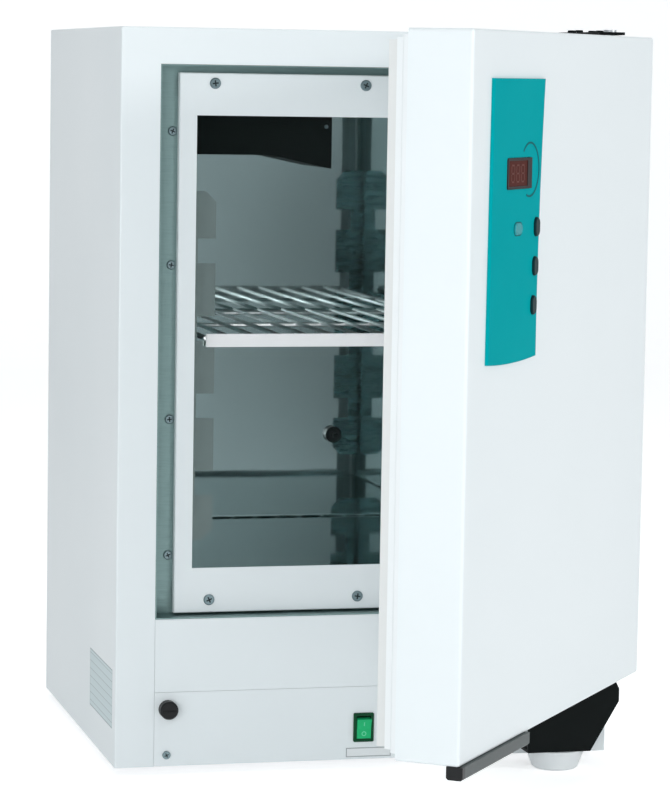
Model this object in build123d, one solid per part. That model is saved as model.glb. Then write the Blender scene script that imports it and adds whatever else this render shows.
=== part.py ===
from build123d import *
import math
import os

os.makedirs("parts", exist_ok=True)

# A bench incubator with a sheet-steel cabinet, a polished chamber behind a glazed inner door,
# and a thick insulated outer door on a vertical hinge at the right.
# Millimetres, +Z up. X is the width, +Y points to the back.
# The origin is on the floor, in the middle of the white foot at the right front.
# Pieces are drawn around the middle of the cabinet, and moved to that origin when they are saved.
# The outer door is drawn shut and then turned as far open as in the photo.

# Cabinet
cabinet_width = 560.0
cabinet_depth = 470.0
cabinet_height = 800.0
floor_clearance = 8.0
shell_sheet = 1.5
shell_bend_radius = 2.0
stile_width = 43.0
stile_lip_depth = 15.0
recess_top_band = 39.0
back_sheet = 1.2
back_lip_width = 16.0
panel_gap = 0.3

# Lower front: the control panel, and the fascia over it
control_panel_height = 82.0
fascia_height = 80.0
front_panel_lip = 14.0
fascia_lip = 30.0
base_tab_width = 28.0

# Recess, and the chamber inside its insulation
recess_depth = 35.0
recess_sheet = 1.2
flange_sheet = 1.5
side_insulation = 80.0
back_insulation = 35.0
top_insulation = 89.5
chamber_rise = 210.5
insulation_gap = 1.0
liner_sheet = 1.0
liner_rim = 14.0
liner_corner_radius = 3.0
flange_screw_outset = 17.0
flange_screw_low = 17.0
flange_screw_high = 21.5
flange_screw_middle_pitch = 168.0

# Shelf strips and the wire shelf
strip_width = 37.0
strip_sheet = 1.5
strip_foot = 12.0
strip_bottom_gap = 29.5
strip_top_gap = 86.5
strip_chamfer = 12.0
notch_depth = 20.0
notch_height = 27.0
notch_pitch = 85.0
first_notch = 79.5
front_strip_inset = 20.0
rear_strip_inset = 45.0
shelf_rod_diameter = 4.5
shelf_frame_diameter = 6.0
shelf_cross_rod_diameter = 5.0
shelf_weld_depth = 0.4
shelf_rod_pitch = 20.0
shelf_side_gap = 26.0
shelf_corner_radius = 12.0
shelf_band_height = 14.3
shelf_band_sheet = 2.0
shelf_front_inset = 14.0
shelf_rear_inset = 10.0
seat_gap = 0.3

# Air circulation under the chamber's ceiling
fan_housing_left = -135.0
fan_housing_right = 41.0
fan_housing_depth = 78.0
fan_housing_height = 54.5
fan_housing_bend_x = -35.0
fan_housing_slope_drop = 15.5
fan_housing_corner = 10.0
fan_housing_sheet = 2.0
fan_opening_inset = 18.0
fan_outlet_height = 30.0
fan_axis_x = -30.0
fan_axis_drop = 28.0
impeller_diameter = 44.0
impeller_width = 30.0
impeller_wall_gap = 12.0
impeller_disc = 2.0
impeller_rim_width = 3.0
impeller_hub_diameter = 14.0
impeller_hub_setback = 6.0
impeller_blades = 12
impeller_blade_sheet = 1.2
impeller_blade_chord = 9.0
impeller_blade_inset = 5.0
impeller_blade_angle = 28.0
motor_diameter = 54.0
motor_length = 26.0
motor_edge = 2.0
motor_shaft_diameter = 5.0
shaft_hole_clearance = 2.0
running_clearance = 0.05
hole_clearance = 0.1

# Temperature sensor on the back wall
sensor_x = 67.0
sensor_rise = 101.5
sensor_cap_diameter = 20.0
sensor_cap_length = 12.0
sensor_cap_edge = 3.0
sensor_stem_diameter = 6.0
sensor_stem_length = 16.0
sensor_tip_length = 22.0
sensor_tip_edge = 1.5

# Heating mat under the chamber
heater_margin_x = 35.0
heater_margin_y = 40.0
heater_thickness = 2.5
heater_corner_radius = 12.0
heater_terminal_x = 75.0
heater_terminal_width = 30.0
heater_terminal_depth = 24.0
heater_terminal_height = 8.0

# Control panel fittings
fuse_inset = 14.5
fuse_rise = 64.0
fuse_cap_diameter = 20.0
fuse_cap_length = 11.5
fuse_cap_edge = 1.5
fuse_cap_flutes = 24
fuse_flute_diameter = 1.4
fuse_cap_slot = 1.6
fuse_ring_sheet = 2.0
fuse_body_diameter = 14.0
fuse_body_wall = 2.0
fuse_body_length = 34.0
fuse_nut_diameter = 20.0
fuse_nut_height = 4.0
fuse_stem_length = 8.0
fuse_tube_diameter = 5.0
fuse_tube_length = 20.0
panel_screw_inset = 14.0
panel_screw_rise = 12.8
switch_x = -1.75
switch_rise = 36.2
switch_width = 23.0
switch_tall = 32.3
switch_bezel = 2.0
switch_rim = 3.2
switch_edge = 1.0
switch_body_depth = 20.0
switch_wall = 1.2
rocker_tilt = 8.0
rocker_pivot_depth = 5.0
rocker_pin_diameter = 3.0
rocker_gap = 0.35
rocker_swing_gap = 1.7

# Outer door, measured with the door shut
door_sheet = 1.5
door_depth = 66.0
door_bottom_rise = 98.0
door_top_drop = 2.0
door_gap = 24.0
door_bend_radius = 3.0
door_return = 12.0
door_open_angle = 53.0
hinge_inset = 32.0
hinge_forward = 50.0
hinge_pin_diameter = 10.0
hinge_pin_head = 2.5
hinge_bush_diameter = 16.0
hinge_bush_length = 22.0
hinge_flange = 3.0
hinge_flange_sheet = 1.2
door_step = 8.0
door_step_inset = 6.0
retainer_depth = 6.5
retainer_inset = 9.0
retainer_width = 20.0
retainer_hinge_edge = 10.0
gasket_inset = 11.0
gasket_width = 13.0
gasket_hinge_edge = 30.0
gasket_gap = 0.5
door_insulation_setback = 14.0

# Grip bar under the latch end of the door, with a plug in its end
grip_length = 191.0
grip_depth = 17.0
grip_height = 13.0
grip_proud = 3.5
grip_end_inset = 0.5
grip_edge = 2.0
grip_cap_length = 7.0
grip_groove_inset = 10.0
grip_groove_depth = 6.0

# Control strip on the door: a leaning outline with a bowed lower edge
strip_panel_inset = 47.0
strip_panel_drop = 46.0
strip_panel_height = 273.0
strip_panel_bottom_width = 137.5
strip_panel_top_width = 146.0
strip_panel_lean = 3.6
strip_panel_waist = 1.5
strip_panel_waist_rise = 119.0
strip_panel_thick = 3.0
strip_panel_bow = 2.5
strip_panel_roll = 2.6
display_inset = 77.7
display_drop = 91.6
display_width = 69.0
display_tall = 30.0
display_corner = 3.0
display_proud = 0.6
display_gap = 0.3
display_lip = 5.0
lamp_drop = 145.5
lamp_width = 22.0
lamp_tall = 11.5
lamp_proud = 1.2
lamp_edge = 0.8
lamp_lip = 2.0
first_button_inset = 130.3
first_button_drop = 145.2
button_pitch = 38.5
button_lean = 2.55
button_width = 13.0
button_tall = 19.0
button_proud = 2.5
button_edge = 1.0
button_travel = 1.5
button_gap = 0.3
button_stem_diameter = 6.0
board_sheet = 1.6
board_setback = 6.0
board_inset = 14.0
board_post_inset = 10.0
board_chip = 4.0

# Inner door: a dished frame, its glass, and hinges on the right wall of the recess
inner_door_left_gap = 22.5
inner_door_right_gap = 36.5
inner_door_bottom_gap = 2.5
inner_door_top_gap = 9.0
inner_door_front = 17.0
inner_door_dish = 9.0
inner_door_sheet = 1.2
inner_door_edge = 1.0
window_side_rail = 19.5
window_bottom_rail = 49.0
window_top_rail = 45.5
glass_thickness = 4.0
glass_overlap = 8.0
clamp_sheet = 2.0
clamp_gap = 1.0
inner_screw_side_inset = 38.75
inner_screw_bottom_inset = 14.0
inner_screw_top_inset = 11.0
inner_seal_width = 8.0
inner_seal_inset = 2.0
inner_seal_overhang = 5.0
inner_seal_bottom_inset = 30.0
inner_seal_top_inset = 26.0
magnet_inset = 13.0
magnet_width = 15.0
magnet_tall = 14.0
inner_hinge_offset = 28.0
inner_hinge_diameter = 6.0
inner_hinge_pin_diameter = 3.0
inner_hinge_length = 50.0
inner_hinge_inset = 60.0
inner_hinge_leaf = 2.0
inner_hinge_foot_front = 6.0
inner_hinge_foot_back = 12.0

# Hinge brackets and feet
bracket_sheet = 3.0
bracket_left_inset = 111.0
bracket_right_inset = 7.0
bracket_front = 64.0
bracket_web_inset = 48.0
bracket_top_rise = 95.0
bracket_bottom_rise = 14.0
bracket_slant_width = 32.0
bracket_slant_height = 55.0
bracket_corner = 12.0
bracket_screw_relief = 18.0
bracket_sole_gap = 4.0
bracket_screw_inset = 8.0
bracket_screw_spacing_x = 14.0
bracket_screw_rise = 62.0
bracket_screw_spacing_z = 20.0
upper_bracket_half_width = 26.0
upper_bracket_nose = 14.0
upper_bracket_reach = 60.0
upper_bracket_corner = 8.0
upper_screw_offset = 12.0
upper_screw_rows = (20.0, 46.0)
white_foot_inset = 71.0
white_foot_forward = 36.0
white_foot_top_diameter = 66.0
white_foot_bottom_diameter = 50.0
foot_edge = 2.0
foot_diameter = 40.0
foot_taper = 3.0
foot_stud_diameter = 8.0
foot_hole_diameter = 9.0
foot_stud_rise = 10.0
foot_inset_x = 45.0
foot_inset_front = 100.0
foot_inset_back = 40.0

# Back
inlet_x = 150.0
inlet_rise = 50.0
inlet_width = 48.0
inlet_tall = 27.0
inlet_corner = 4.0
inlet_flange_sheet = 2.5
inlet_ear = 7.5
inlet_body_depth = 28.0
inlet_well_width = 24.5
inlet_well_tall = 16.0
inlet_well_depth = 17.0
inlet_well_chamfer = 4.5
inlet_pin_pitch = 7.0
inlet_pin_width = 2.0
inlet_pin_tall = 4.0
inlet_pin_drop = 2.0
louvre_x = 150.0
louvre_rise = 98.0
louvre_width = 70.0
louvre_pitch = 14.0
louvre_count = 5
louvre_depth = 4.0
back_screw_rise = 30.0
back_screw_rows = 4

# Circuit board with its parts, on posts in the compartment under the chamber
power_board_x = 15.0
power_board_width = 150.0
power_board_depth = 130.0
power_board_setback = 85.0
power_board_post = 10.0
power_board_post_diameter = 6.0
power_board_post_inset = 8.0
transformer_side = 50.0
transformer_height = 37.0
capacitor_diameter = 20.0
capacitor_height = 30.0
relay_width = 55.0
relay_depth = 30.0
relay_height = 17.0

# Screws
screw_head_diameter = 9.0
recess_screw_head_diameter = 10.0
inner_screw_head_diameter = 12.0
screw_head_height = 2.6
screw_head_edge = 0.9
screw_shank_diameter = 4.0
short_screw = 5.0
panel_screw = 6.0
long_screw = 8.0

# Places worked out from the driving dimensions
half_width = cabinet_width / 2
front = -cabinet_depth / 2
back = cabinet_depth / 2
bottom = floor_clearance
top = bottom + cabinet_height
shell_inside = half_width - shell_sheet
opening_half = half_width - stile_width
recess_top = top - recess_top_band
recess_half = opening_half - panel_gap - recess_sheet
panel_top = bottom + control_panel_height
fascia_top = panel_top + fascia_height
recess_bottom = fascia_top + panel_gap + recess_sheet
flange_front = front + recess_depth
chamber_half = half_width - side_insulation
chamber_front = flange_front + flange_sheet
chamber_back = back - back_insulation
chamber_middle = (chamber_front + chamber_back) / 2
chamber_floor = bottom + chamber_rise
chamber_ceiling = top - top_insulation
back_inner = back - back_sheet
screw_hole = screw_shank_diameter + 2 * hole_clearance
strip_length = chamber_ceiling - strip_top_gap - chamber_floor - strip_bottom_gap
notch_room = strip_length - (first_notch - strip_bottom_gap) - notch_height - strip_chamfer
notch_count = int(notch_room // notch_pitch) + 1
shelf_seat = chamber_floor + first_notch + notch_count // 2 * notch_pitch
shelf_half_width = chamber_half - shelf_side_gap
shelf_front = chamber_front + shelf_front_inset
fan_axis_z = chamber_ceiling - fan_axis_drop
impeller_back = chamber_back - impeller_wall_gap
impeller_front = impeller_back - impeller_width
sensor_z = chamber_floor + sensor_rise
heater_half_x = chamber_half - heater_margin_x
heater_half_y = (chamber_back - chamber_front) / 2 - heater_margin_y
heater_bottom = chamber_floor - liner_sheet - heater_thickness
fuse_x = -opening_half + fuse_inset
fuse_z = bottom + fuse_rise
panel_screw_x = opening_half - panel_screw_inset
panel_screw_z = bottom + panel_screw_rise
switch_z = bottom + switch_rise
switch_cut_x = switch_width / 2 - switch_bezel
switch_cut_z = switch_tall / 2 - switch_bezel
pivot_x = half_width - hinge_inset
pivot_y = front - hinge_forward
door_inner = front - door_gap
door_outer = door_inner - door_depth
door_bottom = bottom + door_bottom_rise
door_top = top - door_top_drop
retainer_front = door_inner + door_step
gasket_front = retainer_front + retainer_depth
strip_x0 = -half_width + strip_panel_inset
strip_z1 = door_top - strip_panel_drop
strip_z0 = strip_z1 - strip_panel_height
strip_face = door_outer - strip_panel_thick
display_x = strip_x0 + display_inset
display_z = strip_z1 - display_drop
lamp_z = strip_z1 - lamp_drop
board_front = door_outer + door_sheet + board_setback
inner_left = -recess_half + inner_door_left_gap
inner_right = recess_half - inner_door_right_gap
inner_bottom = recess_bottom + inner_door_bottom_gap
inner_top = recess_top - inner_door_top_gap
inner_face = front + inner_door_front
window_left = inner_left + window_side_rail
window_right = inner_right - window_side_rail
window_bottom = inner_bottom + window_bottom_rail
window_top = inner_top - window_top_rail
inner_pivot_x = recess_half - inner_hinge_offset
inner_pivot_y = inner_face + inner_door_dish / 2
bracket_left = half_width - bracket_left_inset
bracket_right = half_width - bracket_right_inset
bracket_bottom = bottom + bracket_bottom_rise
bracket_top = bottom + bracket_top_rise
white_foot_x = half_width - white_foot_inset
white_foot_y = front - white_foot_forward
inlet_z = bottom + inlet_rise
STAND = (Align.CENTER, Align.CENTER, Align.MIN)
HANG = (Align.CENTER, Align.CENTER, Align.MAX)


def block(x0, x1, y0, y1, z0, z1):
    """A rectangular block between three pairs of faces."""
    centre = Pos((x0 + x1) / 2, (y0 + y1) / 2, (z0 + z1) / 2)
    return centre * Box(x1 - x0, y1 - y0, z1 - z0)


def rod_x(diameter, x0, x1, y, z):
    """A round bar along X."""
    return Pos((x0 + x1) / 2, y, z) * Rot(0, 90, 0) * Cylinder(diameter / 2, x1 - x0)


def rod_y(diameter, x, y0, y1, z):
    """A round bar along Y."""
    return Pos(x, (y0 + y1) / 2, z) * Rot(90, 0, 0) * Cylinder(diameter / 2, y1 - y0)


def rod_z(diameter, x, y, z0, z1):
    """A round bar along Z."""
    return Pos(x, y, (z0 + z1) / 2) * Cylinder(diameter / 2, z1 - z0)


def plate_y(outline, y0, y1):
    """An outline drawn in X and Z, made solid from y0 to y1."""
    return extrude(Plane.XZ.offset(-y0) * outline, y0 - y1)


def polygon(points):
    return make_face(Polyline(*points, close=True))


def ring_y(x0, x1, z0, z1, width, y0, y1):
    """A rectangular frame of the given bar width, facing the front."""
    inner = block(x0 + width, x1 - width, y0 - 1, y1 + 1, z0 + width, z1 - width)
    return block(x0, x1, y0, y1, z0, z1) - inner


def mirrored(piece):
    """A piece and its copy on the other side of the cabinet."""
    return piece + piece.mirror(Plane.YZ)


def screw(head_diameter, length):
    """A pan-head screw with its head on the plane z = 0 and its shank below."""
    head = Cylinder(head_diameter / 2, screw_head_height, align=STAND)
    head = chamfer(head.edges().group_by(Axis.Z)[-1], screw_head_edge)
    return head + Cylinder(screw_shank_diameter / 2, length, align=HANG)


def front_screws(places, y, head_diameter, length):
    """Screws with their heads to the front, on the plane y."""
    return [Pos(x, y, z) * Rot(90, 0, 0) * screw(head_diameter, length) for x, z in places]


def hang_door(piece):
    """Turn a piece drawn on the shut door to the angle at which the door stands."""
    return Pos(pivot_x, pivot_y, 0) * Rot(0, 0, door_open_angle) * Pos(-pivot_x, -pivot_y, 0) * piece


def group(pieces):
    """Separate solids that share one node."""
    return Compound(children=[solid for piece in pieces for solid in piece.solids()])


def save(name, piece):
    """Move a piece from the middle of the cabinet to the part's own origin, and write it."""
    solids = [Pos(-white_foot_x, -white_foot_y, 0) * solid for solid in piece.solids()]
    export_step(solids[0] if len(solids) == 1 else group(solids), "parts/" + name + ".step")
    print(name, len(solids), round(sum(solid.volume for solid in solids), 1))


# Where the screws and feet go
def back_screw_places():
    x = shell_inside - back_lip_width / 2
    z0 = bottom + back_screw_rise
    z1 = top - shell_sheet - back_lip_width / 2
    pitch = (z1 - z0) / (back_screw_rows - 1)
    places = [(side * x, z0 + row * pitch) for side in (-1, 1) for row in range(back_screw_rows)]
    return places + [(0, z1)]


def flange_screw_places():
    middle = (chamber_floor + chamber_ceiling) / 2
    heights = (chamber_floor + flange_screw_low, middle - flange_screw_middle_pitch / 2,
               middle + flange_screw_middle_pitch / 2, chamber_ceiling - flange_screw_high)
    return [(side * (chamber_half + flange_screw_outset), z) for side in (-1, 1) for z in heights]


def panel_screw_places():
    return [(-panel_screw_x, panel_screw_z), (panel_screw_x, panel_screw_z)]


def inner_screw_columns():
    return (inner_left + inner_screw_side_inset, (inner_left + inner_right) / 2,
            inner_right - inner_screw_side_inset)


def inner_screw_places():
    heights = (inner_bottom + inner_screw_bottom_inset, inner_top - inner_screw_top_inset)
    return [(x, z) for z in heights for x in inner_screw_columns()]


def lower_bracket_screws():
    x0 = opening_half + bracket_screw_inset
    z0 = bottom + bracket_screw_rise
    return [(x0 + across, z0 + up) for across in (0, bracket_screw_spacing_x)
            for up in (0, bracket_screw_spacing_z)]


def upper_bracket_screws():
    return [(pivot_x + side * upper_screw_offset, front + row)
            for side in (-1, 1) for row in upper_screw_rows]


def foot_places():
    """Middles of the three feet under the base panel."""
    side = half_width - foot_inset_x
    back_row = back - foot_inset_back
    return ((-side, front + foot_inset_front), (-side, back_row), (side, back_row))


# Cabinet shell: one wrap of sheet with front stiles, a top band and lips
def make_outer_shell():
    body = block(-half_width, half_width, front, back, bottom, top)
    bends = body.edges().filter_by(Axis.Z).group_by(Axis.Y)[0]
    bends += body.edges().filter_by(Axis.Y).group_by(Axis.Z)[-1]
    bends += body.faces().sort_by(Axis.Y)[0].edges().filter_by(Axis.X).group_by(Axis.Z)[-1]
    body = fillet(bends, shell_bend_radius)
    body -= block(-shell_inside, shell_inside, front + shell_sheet, back + 1, bottom - 1, top - shell_sheet)
    body -= block(-opening_half, opening_half, front - 1, front + shell_sheet + 1, bottom - 1, recess_top)
    lip_back = front + stile_lip_depth
    body += mirrored(block(opening_half, opening_half + shell_sheet, front, lip_back,
                           bottom + shell_sheet + panel_gap, recess_top + shell_sheet))
    body += block(-opening_half - shell_sheet, opening_half + shell_sheet, front, lip_back,
                  recess_top, recess_top + shell_sheet)
    lip = ring_y(-shell_inside, shell_inside, bottom, top - shell_sheet, back_lip_width,
                 back_inner - shell_sheet, back_inner)
    lip -= block(-shell_inside + back_lip_width, shell_inside - back_lip_width,
                 back_inner - shell_sheet - 1, back, bottom - 1, bottom + back_lip_width + 1)
    body += lip
    for x, z in back_screw_places():
        body -= rod_y(screw_hole, x, back_inner - shell_sheet - 1, back_inner + 1, z)
    for x, z in lower_bracket_screws():
        body -= rod_y(screw_hole, x, front - 1, front + shell_sheet + 1, z)
    for x, y in upper_bracket_screws():
        body -= rod_z(screw_hole, x, y, top - shell_sheet - 1, top + 1)
    return body


def make_base_panel():
    inside = shell_inside - panel_gap
    y_front = front + shell_sheet + panel_gap
    y_back = back_inner - shell_sheet - panel_gap
    panel = block(-inside, inside, y_front, y_back, bottom, bottom + shell_sheet)
    tab_x = opening_half - panel_gap
    panel += mirrored(block(tab_x - base_tab_width, tab_x, y_front, y_front + shell_sheet,
                            bottom, bottom + 2 * panel_screw_rise))
    panel += mirrored(block(inside - shell_sheet, inside, y_front + stile_lip_depth, y_back,
                            bottom, bottom + back_lip_width))
    for x, z in panel_screw_places():
        panel -= rod_y(screw_hole, x, y_front - 1, y_front + shell_sheet + 1, z)
    for x, y in foot_places():
        panel -= rod_z(foot_hole_diameter, x, y, bottom - 1, bottom + shell_sheet + 1)
    return panel


def make_control_panel():
    x = opening_half - panel_gap
    z1 = panel_top - panel_gap
    panel = block(-x, x, front, front + shell_sheet, bottom + panel_gap, z1)
    panel += block(-x, x, front, front + shell_sheet + front_panel_lip, z1 - shell_sheet, z1)
    panel -= rod_y(fuse_body_diameter + 2 * hole_clearance, fuse_x, front - 1, front + shell_sheet + 1,
                   fuse_z)
    panel -= block(switch_x - switch_cut_x, switch_x + switch_cut_x, front - 1, front + shell_sheet + 1,
                   switch_z - switch_cut_z, switch_z + switch_cut_z)
    for x, z in panel_screw_places():
        panel -= rod_y(screw_hole, x, front - 1, front + shell_sheet + 1, z)
    return panel


def make_front_fascia():
    x = opening_half - panel_gap
    fascia = block(-x, x, front, front + shell_sheet, panel_top, fascia_top)
    fascia += block(-x, x, front, front + fascia_lip, fascia_top - shell_sheet, fascia_top)
    fascia += block(-x, x, front, front + shell_sheet + front_panel_lip, panel_top, panel_top + shell_sheet)
    return fascia


# Back panel with two banks of louvres and an opening for the mains inlet
def make_back_panel():
    x = shell_inside - panel_gap
    panel = block(-x, x, back_inner, back, bottom, top - shell_sheet - panel_gap)
    for side in (-1, 1):
        for index in range(louvre_count):
            z = bottom + louvre_rise + index * louvre_pitch
            panel -= block(side * louvre_x - louvre_width / 2, side * louvre_x + louvre_width / 2,
                           back_inner - 1, back + 1, z - louvre_depth / 2, z + louvre_depth / 2)
    cut_x = inlet_width / 2 - inlet_ear
    cut_z = inlet_tall / 2 - hinge_flange_sheet
    panel -= block(inlet_x - cut_x, inlet_x + cut_x, back_inner - 1, back + 1,
                   inlet_z - cut_z, inlet_z + cut_z)
    for screw_x, screw_z in back_screw_places():
        panel -= rod_y(screw_hole, screw_x, back_inner - 1, back + 1, screw_z)
    return panel


# Recess frame: a shallow tray between the stiles that carries the chamber
def make_recess_frame():
    outer = recess_half + recess_sheet
    z0 = recess_bottom - recess_sheet
    z1 = recess_top - panel_gap
    wall = ring_y(-outer, outer, z0, z1, recess_sheet, front + panel_gap, chamber_front)
    plate = block(-outer, outer, flange_front, chamber_front, z0, z1)
    plate -= block(-chamber_half, chamber_half, flange_front - 1, chamber_front + 1,
                   chamber_floor, chamber_ceiling)
    frame = wall + plate
    for x, z in flange_screw_places():
        frame -= rod_y(screw_hole, x, flange_front - 1, chamber_front + 1, z)
    return frame


# Chamber: a five-sided tank of polished sheet with a rim that lies on the recess frame
def make_chamber_liner():
    t = liner_sheet
    tank = block(-chamber_half - t, chamber_half + t, chamber_front, chamber_back + t,
                 chamber_floor - t, chamber_ceiling + t)
    hollow = block(-chamber_half, chamber_half, chamber_front - recess_depth, chamber_back,
                   chamber_floor, chamber_ceiling)
    hollow = fillet(hollow.edges().filter_by(Axis.Y) + hollow.faces().sort_by(Axis.Y)[-1].edges(),
                    liner_corner_radius)
    hollow -= block(-half_width, half_width, front, chamber_front - 1, bottom, top)
    rim = ring_y(-chamber_half - liner_rim, chamber_half + liner_rim, chamber_floor - liner_rim,
                 chamber_ceiling + liner_rim, liner_rim, chamber_front, chamber_front + t)
    liner = tank + rim - hollow
    liner -= rod_y(motor_shaft_diameter + 2 * shaft_hole_clearance, fan_axis_x, chamber_back - 1,
                   chamber_back + t + 1, fan_axis_z)
    liner -= rod_y(sensor_stem_diameter + 2 * hole_clearance, sensor_x, chamber_back - 1,
                   chamber_back + t + 1, sensor_z)
    return liner


# Shelf strips: notched plates, one near each corner of the chamber
def make_shelf_strip(side, y):
    inner = chamber_half - strip_width
    z0 = chamber_floor + strip_bottom_gap
    z1 = z0 + strip_length
    points = [(chamber_half, z0), (inner + strip_chamfer, z0), (inner, z0 + strip_chamfer),
              (inner, z1 - strip_chamfer), (inner + strip_chamfer, z1), (chamber_half, z1)]
    strip = plate_y(polygon(points), y, y + strip_sheet)
    for index in range(notch_count):
        seat = chamber_floor + first_notch + index * notch_pitch
        strip -= block(inner - 1, inner + notch_depth, y - 1, y + strip_sheet + 1, seat, seat + notch_height)
    strip += block(chamber_half - strip_sheet, chamber_half, y, y + strip_foot, z0, z1)
    return strip if side > 0 else strip.mirror(Plane.YZ)


# Wire shelf: rods on a bent frame, with a bright band across its front
def make_wire_shelf():
    y0 = shelf_front + shelf_frame_diameter / 2 + 1
    y1 = chamber_back - shelf_rear_inset
    bar_z = shelf_seat + seat_gap + shelf_frame_diameter / 2
    rods_z = bar_z + shelf_frame_diameter / 2 - shelf_weld_depth
    x = shelf_half_width
    corners = [(x, y0 - shelf_frame_diameter / 2, bar_z), (x, y1, bar_z), (-x, y1, bar_z),
               (-x, y0 - shelf_frame_diameter / 2, bar_z)]
    path = FilletPolyline(*corners, radius=shelf_corner_radius)
    section = Plane(origin=path @ 0, z_dir=path % 0) * Circle(shelf_frame_diameter / 2)
    shelf = sweep(section, path=path)
    for y in (y0, (y0 + y1) / 2):
        shelf += rod_x(shelf_cross_rod_diameter, -x, x, y, bar_z)
    side_rods = int((x - shelf_frame_diameter) // shelf_rod_pitch)
    for index in range(-side_rods, side_rods + 1):
        shelf += rod_y(shelf_rod_diameter, index * shelf_rod_pitch, y0, y1 + 2, rods_z)
    return shelf


def make_shelf_band():
    z1 = shelf_seat + seat_gap + shelf_frame_diameter + shelf_rod_diameter / 2 - shelf_weld_depth
    return block(-shelf_half_width, shelf_half_width, shelf_front - shelf_band_sheet, shelf_front + 1,
                 z1 - shelf_band_height, z1)


# Fan housing: a black scoop under the ceiling, open below the impeller and at its right end
def make_fan_housing():
    z1 = chamber_ceiling - seat_gap
    z0 = z1 - fan_housing_height
    low = z0 - fan_housing_slope_drop
    y0 = chamber_back - fan_housing_depth
    y1 = chamber_back - seat_gap
    left = fan_housing_left
    right = fan_housing_right
    corner = fan_housing_corner
    t = fan_housing_sheet
    outline = [(left, z1), (left, z0 + corner), (left + corner, z0), (fan_housing_bend_x, z0),
               (right, low), (right, z1)]
    body = plate_y(polygon(outline), y0, y1)
    body = chamfer(body.faces().sort_by(Axis.Z)[-1].edges().sort_by(Axis.Y)[-1], liner_corner_radius + 0.5)
    inner = [(left + t, z1 - t), (left + t, z0 + corner + t / 2), (left + corner + t / 2, z0 + t),
             (fan_housing_bend_x, z0 + t), (right - t, low + t), (right - t, z1 - t)]
    body -= plate_y(polygon(inner), y0 + t, chamber_back + 1)
    intake = impeller_diameter - 2 * impeller_blade_inset
    body -= block(fan_axis_x - intake / 2, fan_axis_x + intake / 2, y0 + fan_opening_inset,
                  chamber_back - fan_opening_inset, low, z0 + t + 1)
    body -= block(right - t - 1, right + 1, y0 + fan_opening_inset, chamber_back - fan_opening_inset,
                  fan_axis_z - fan_outlet_height / 2, fan_axis_z + fan_outlet_height / 2)
    return body


def make_fan_impeller():
    y0 = impeller_front
    y1 = impeller_back
    wheel = rod_y(impeller_diameter, fan_axis_x, y1 - impeller_disc, y1, fan_axis_z)
    wheel += rod_y(impeller_hub_diameter, fan_axis_x, y0 + impeller_hub_setback, y1, fan_axis_z)
    half_sheet = impeller_blade_sheet / 2
    half_chord = impeller_blade_chord / 2
    radius = impeller_diameter / 2 - impeller_blade_inset
    for index in range(impeller_blades):
        blade = block(-half_sheet, half_sheet, y0, y1, -half_chord, half_chord)
        blade = Pos(0, 0, radius) * Rot(0, impeller_blade_angle, 0) * blade
        wheel += Pos(fan_axis_x, 0, fan_axis_z) * Rot(0, index * 360 / impeller_blades, 0) * blade
    rim = rod_y(impeller_diameter, fan_axis_x, y0, y0 + impeller_disc, fan_axis_z)
    rim -= rod_y(impeller_diameter - 2 * impeller_rim_width, fan_axis_x, y0 - 1, y0 + impeller_disc + 1,
                 fan_axis_z)
    wheel += rim
    wheel -= rod_y(motor_shaft_diameter + 2 * running_clearance, fan_axis_x, y0 - 1, y1 + 1, fan_axis_z)
    return wheel


def make_fan_motor():
    y0 = chamber_back + liner_sheet
    motor = rod_y(motor_diameter, fan_axis_x, y0, y0 + motor_length, fan_axis_z)
    motor = chamfer(motor.edges().filter_by(GeomType.CIRCLE), motor_edge)
    return motor + rod_y(motor_shaft_diameter, fan_axis_x, impeller_front + impeller_hub_setback - 1, y0 + 1,
                         fan_axis_z)


def make_temperature_sensor():
    cap = Cylinder(sensor_cap_diameter / 2, sensor_cap_length, align=STAND)
    cap = chamfer(cap.edges().group_by(Axis.Z)[-1], sensor_cap_edge)
    tip = Cylinder(sensor_stem_diameter / 2, sensor_tip_length, align=STAND)
    tip = chamfer(tip.edges().group_by(Axis.Z)[-1], sensor_tip_edge)
    stem = Cylinder(sensor_stem_diameter / 2, sensor_stem_length, align=HANG)
    return Pos(sensor_x, chamber_back, sensor_z) * Rot(90, 0, 0) * (cap + stem + tip)


def make_heater_mat():
    mat = RectangleRounded(2 * heater_half_x, 2 * heater_half_y, heater_corner_radius)
    mat = Pos(0, chamber_middle, heater_bottom) * extrude(mat, heater_thickness)
    half_x = heater_terminal_width / 2
    half_y = heater_terminal_depth / 2
    return mat + block(heater_terminal_x - half_x, heater_terminal_x + half_x, chamber_middle - half_y,
                       chamber_middle + half_y, heater_bottom - heater_terminal_height, heater_bottom)


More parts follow.
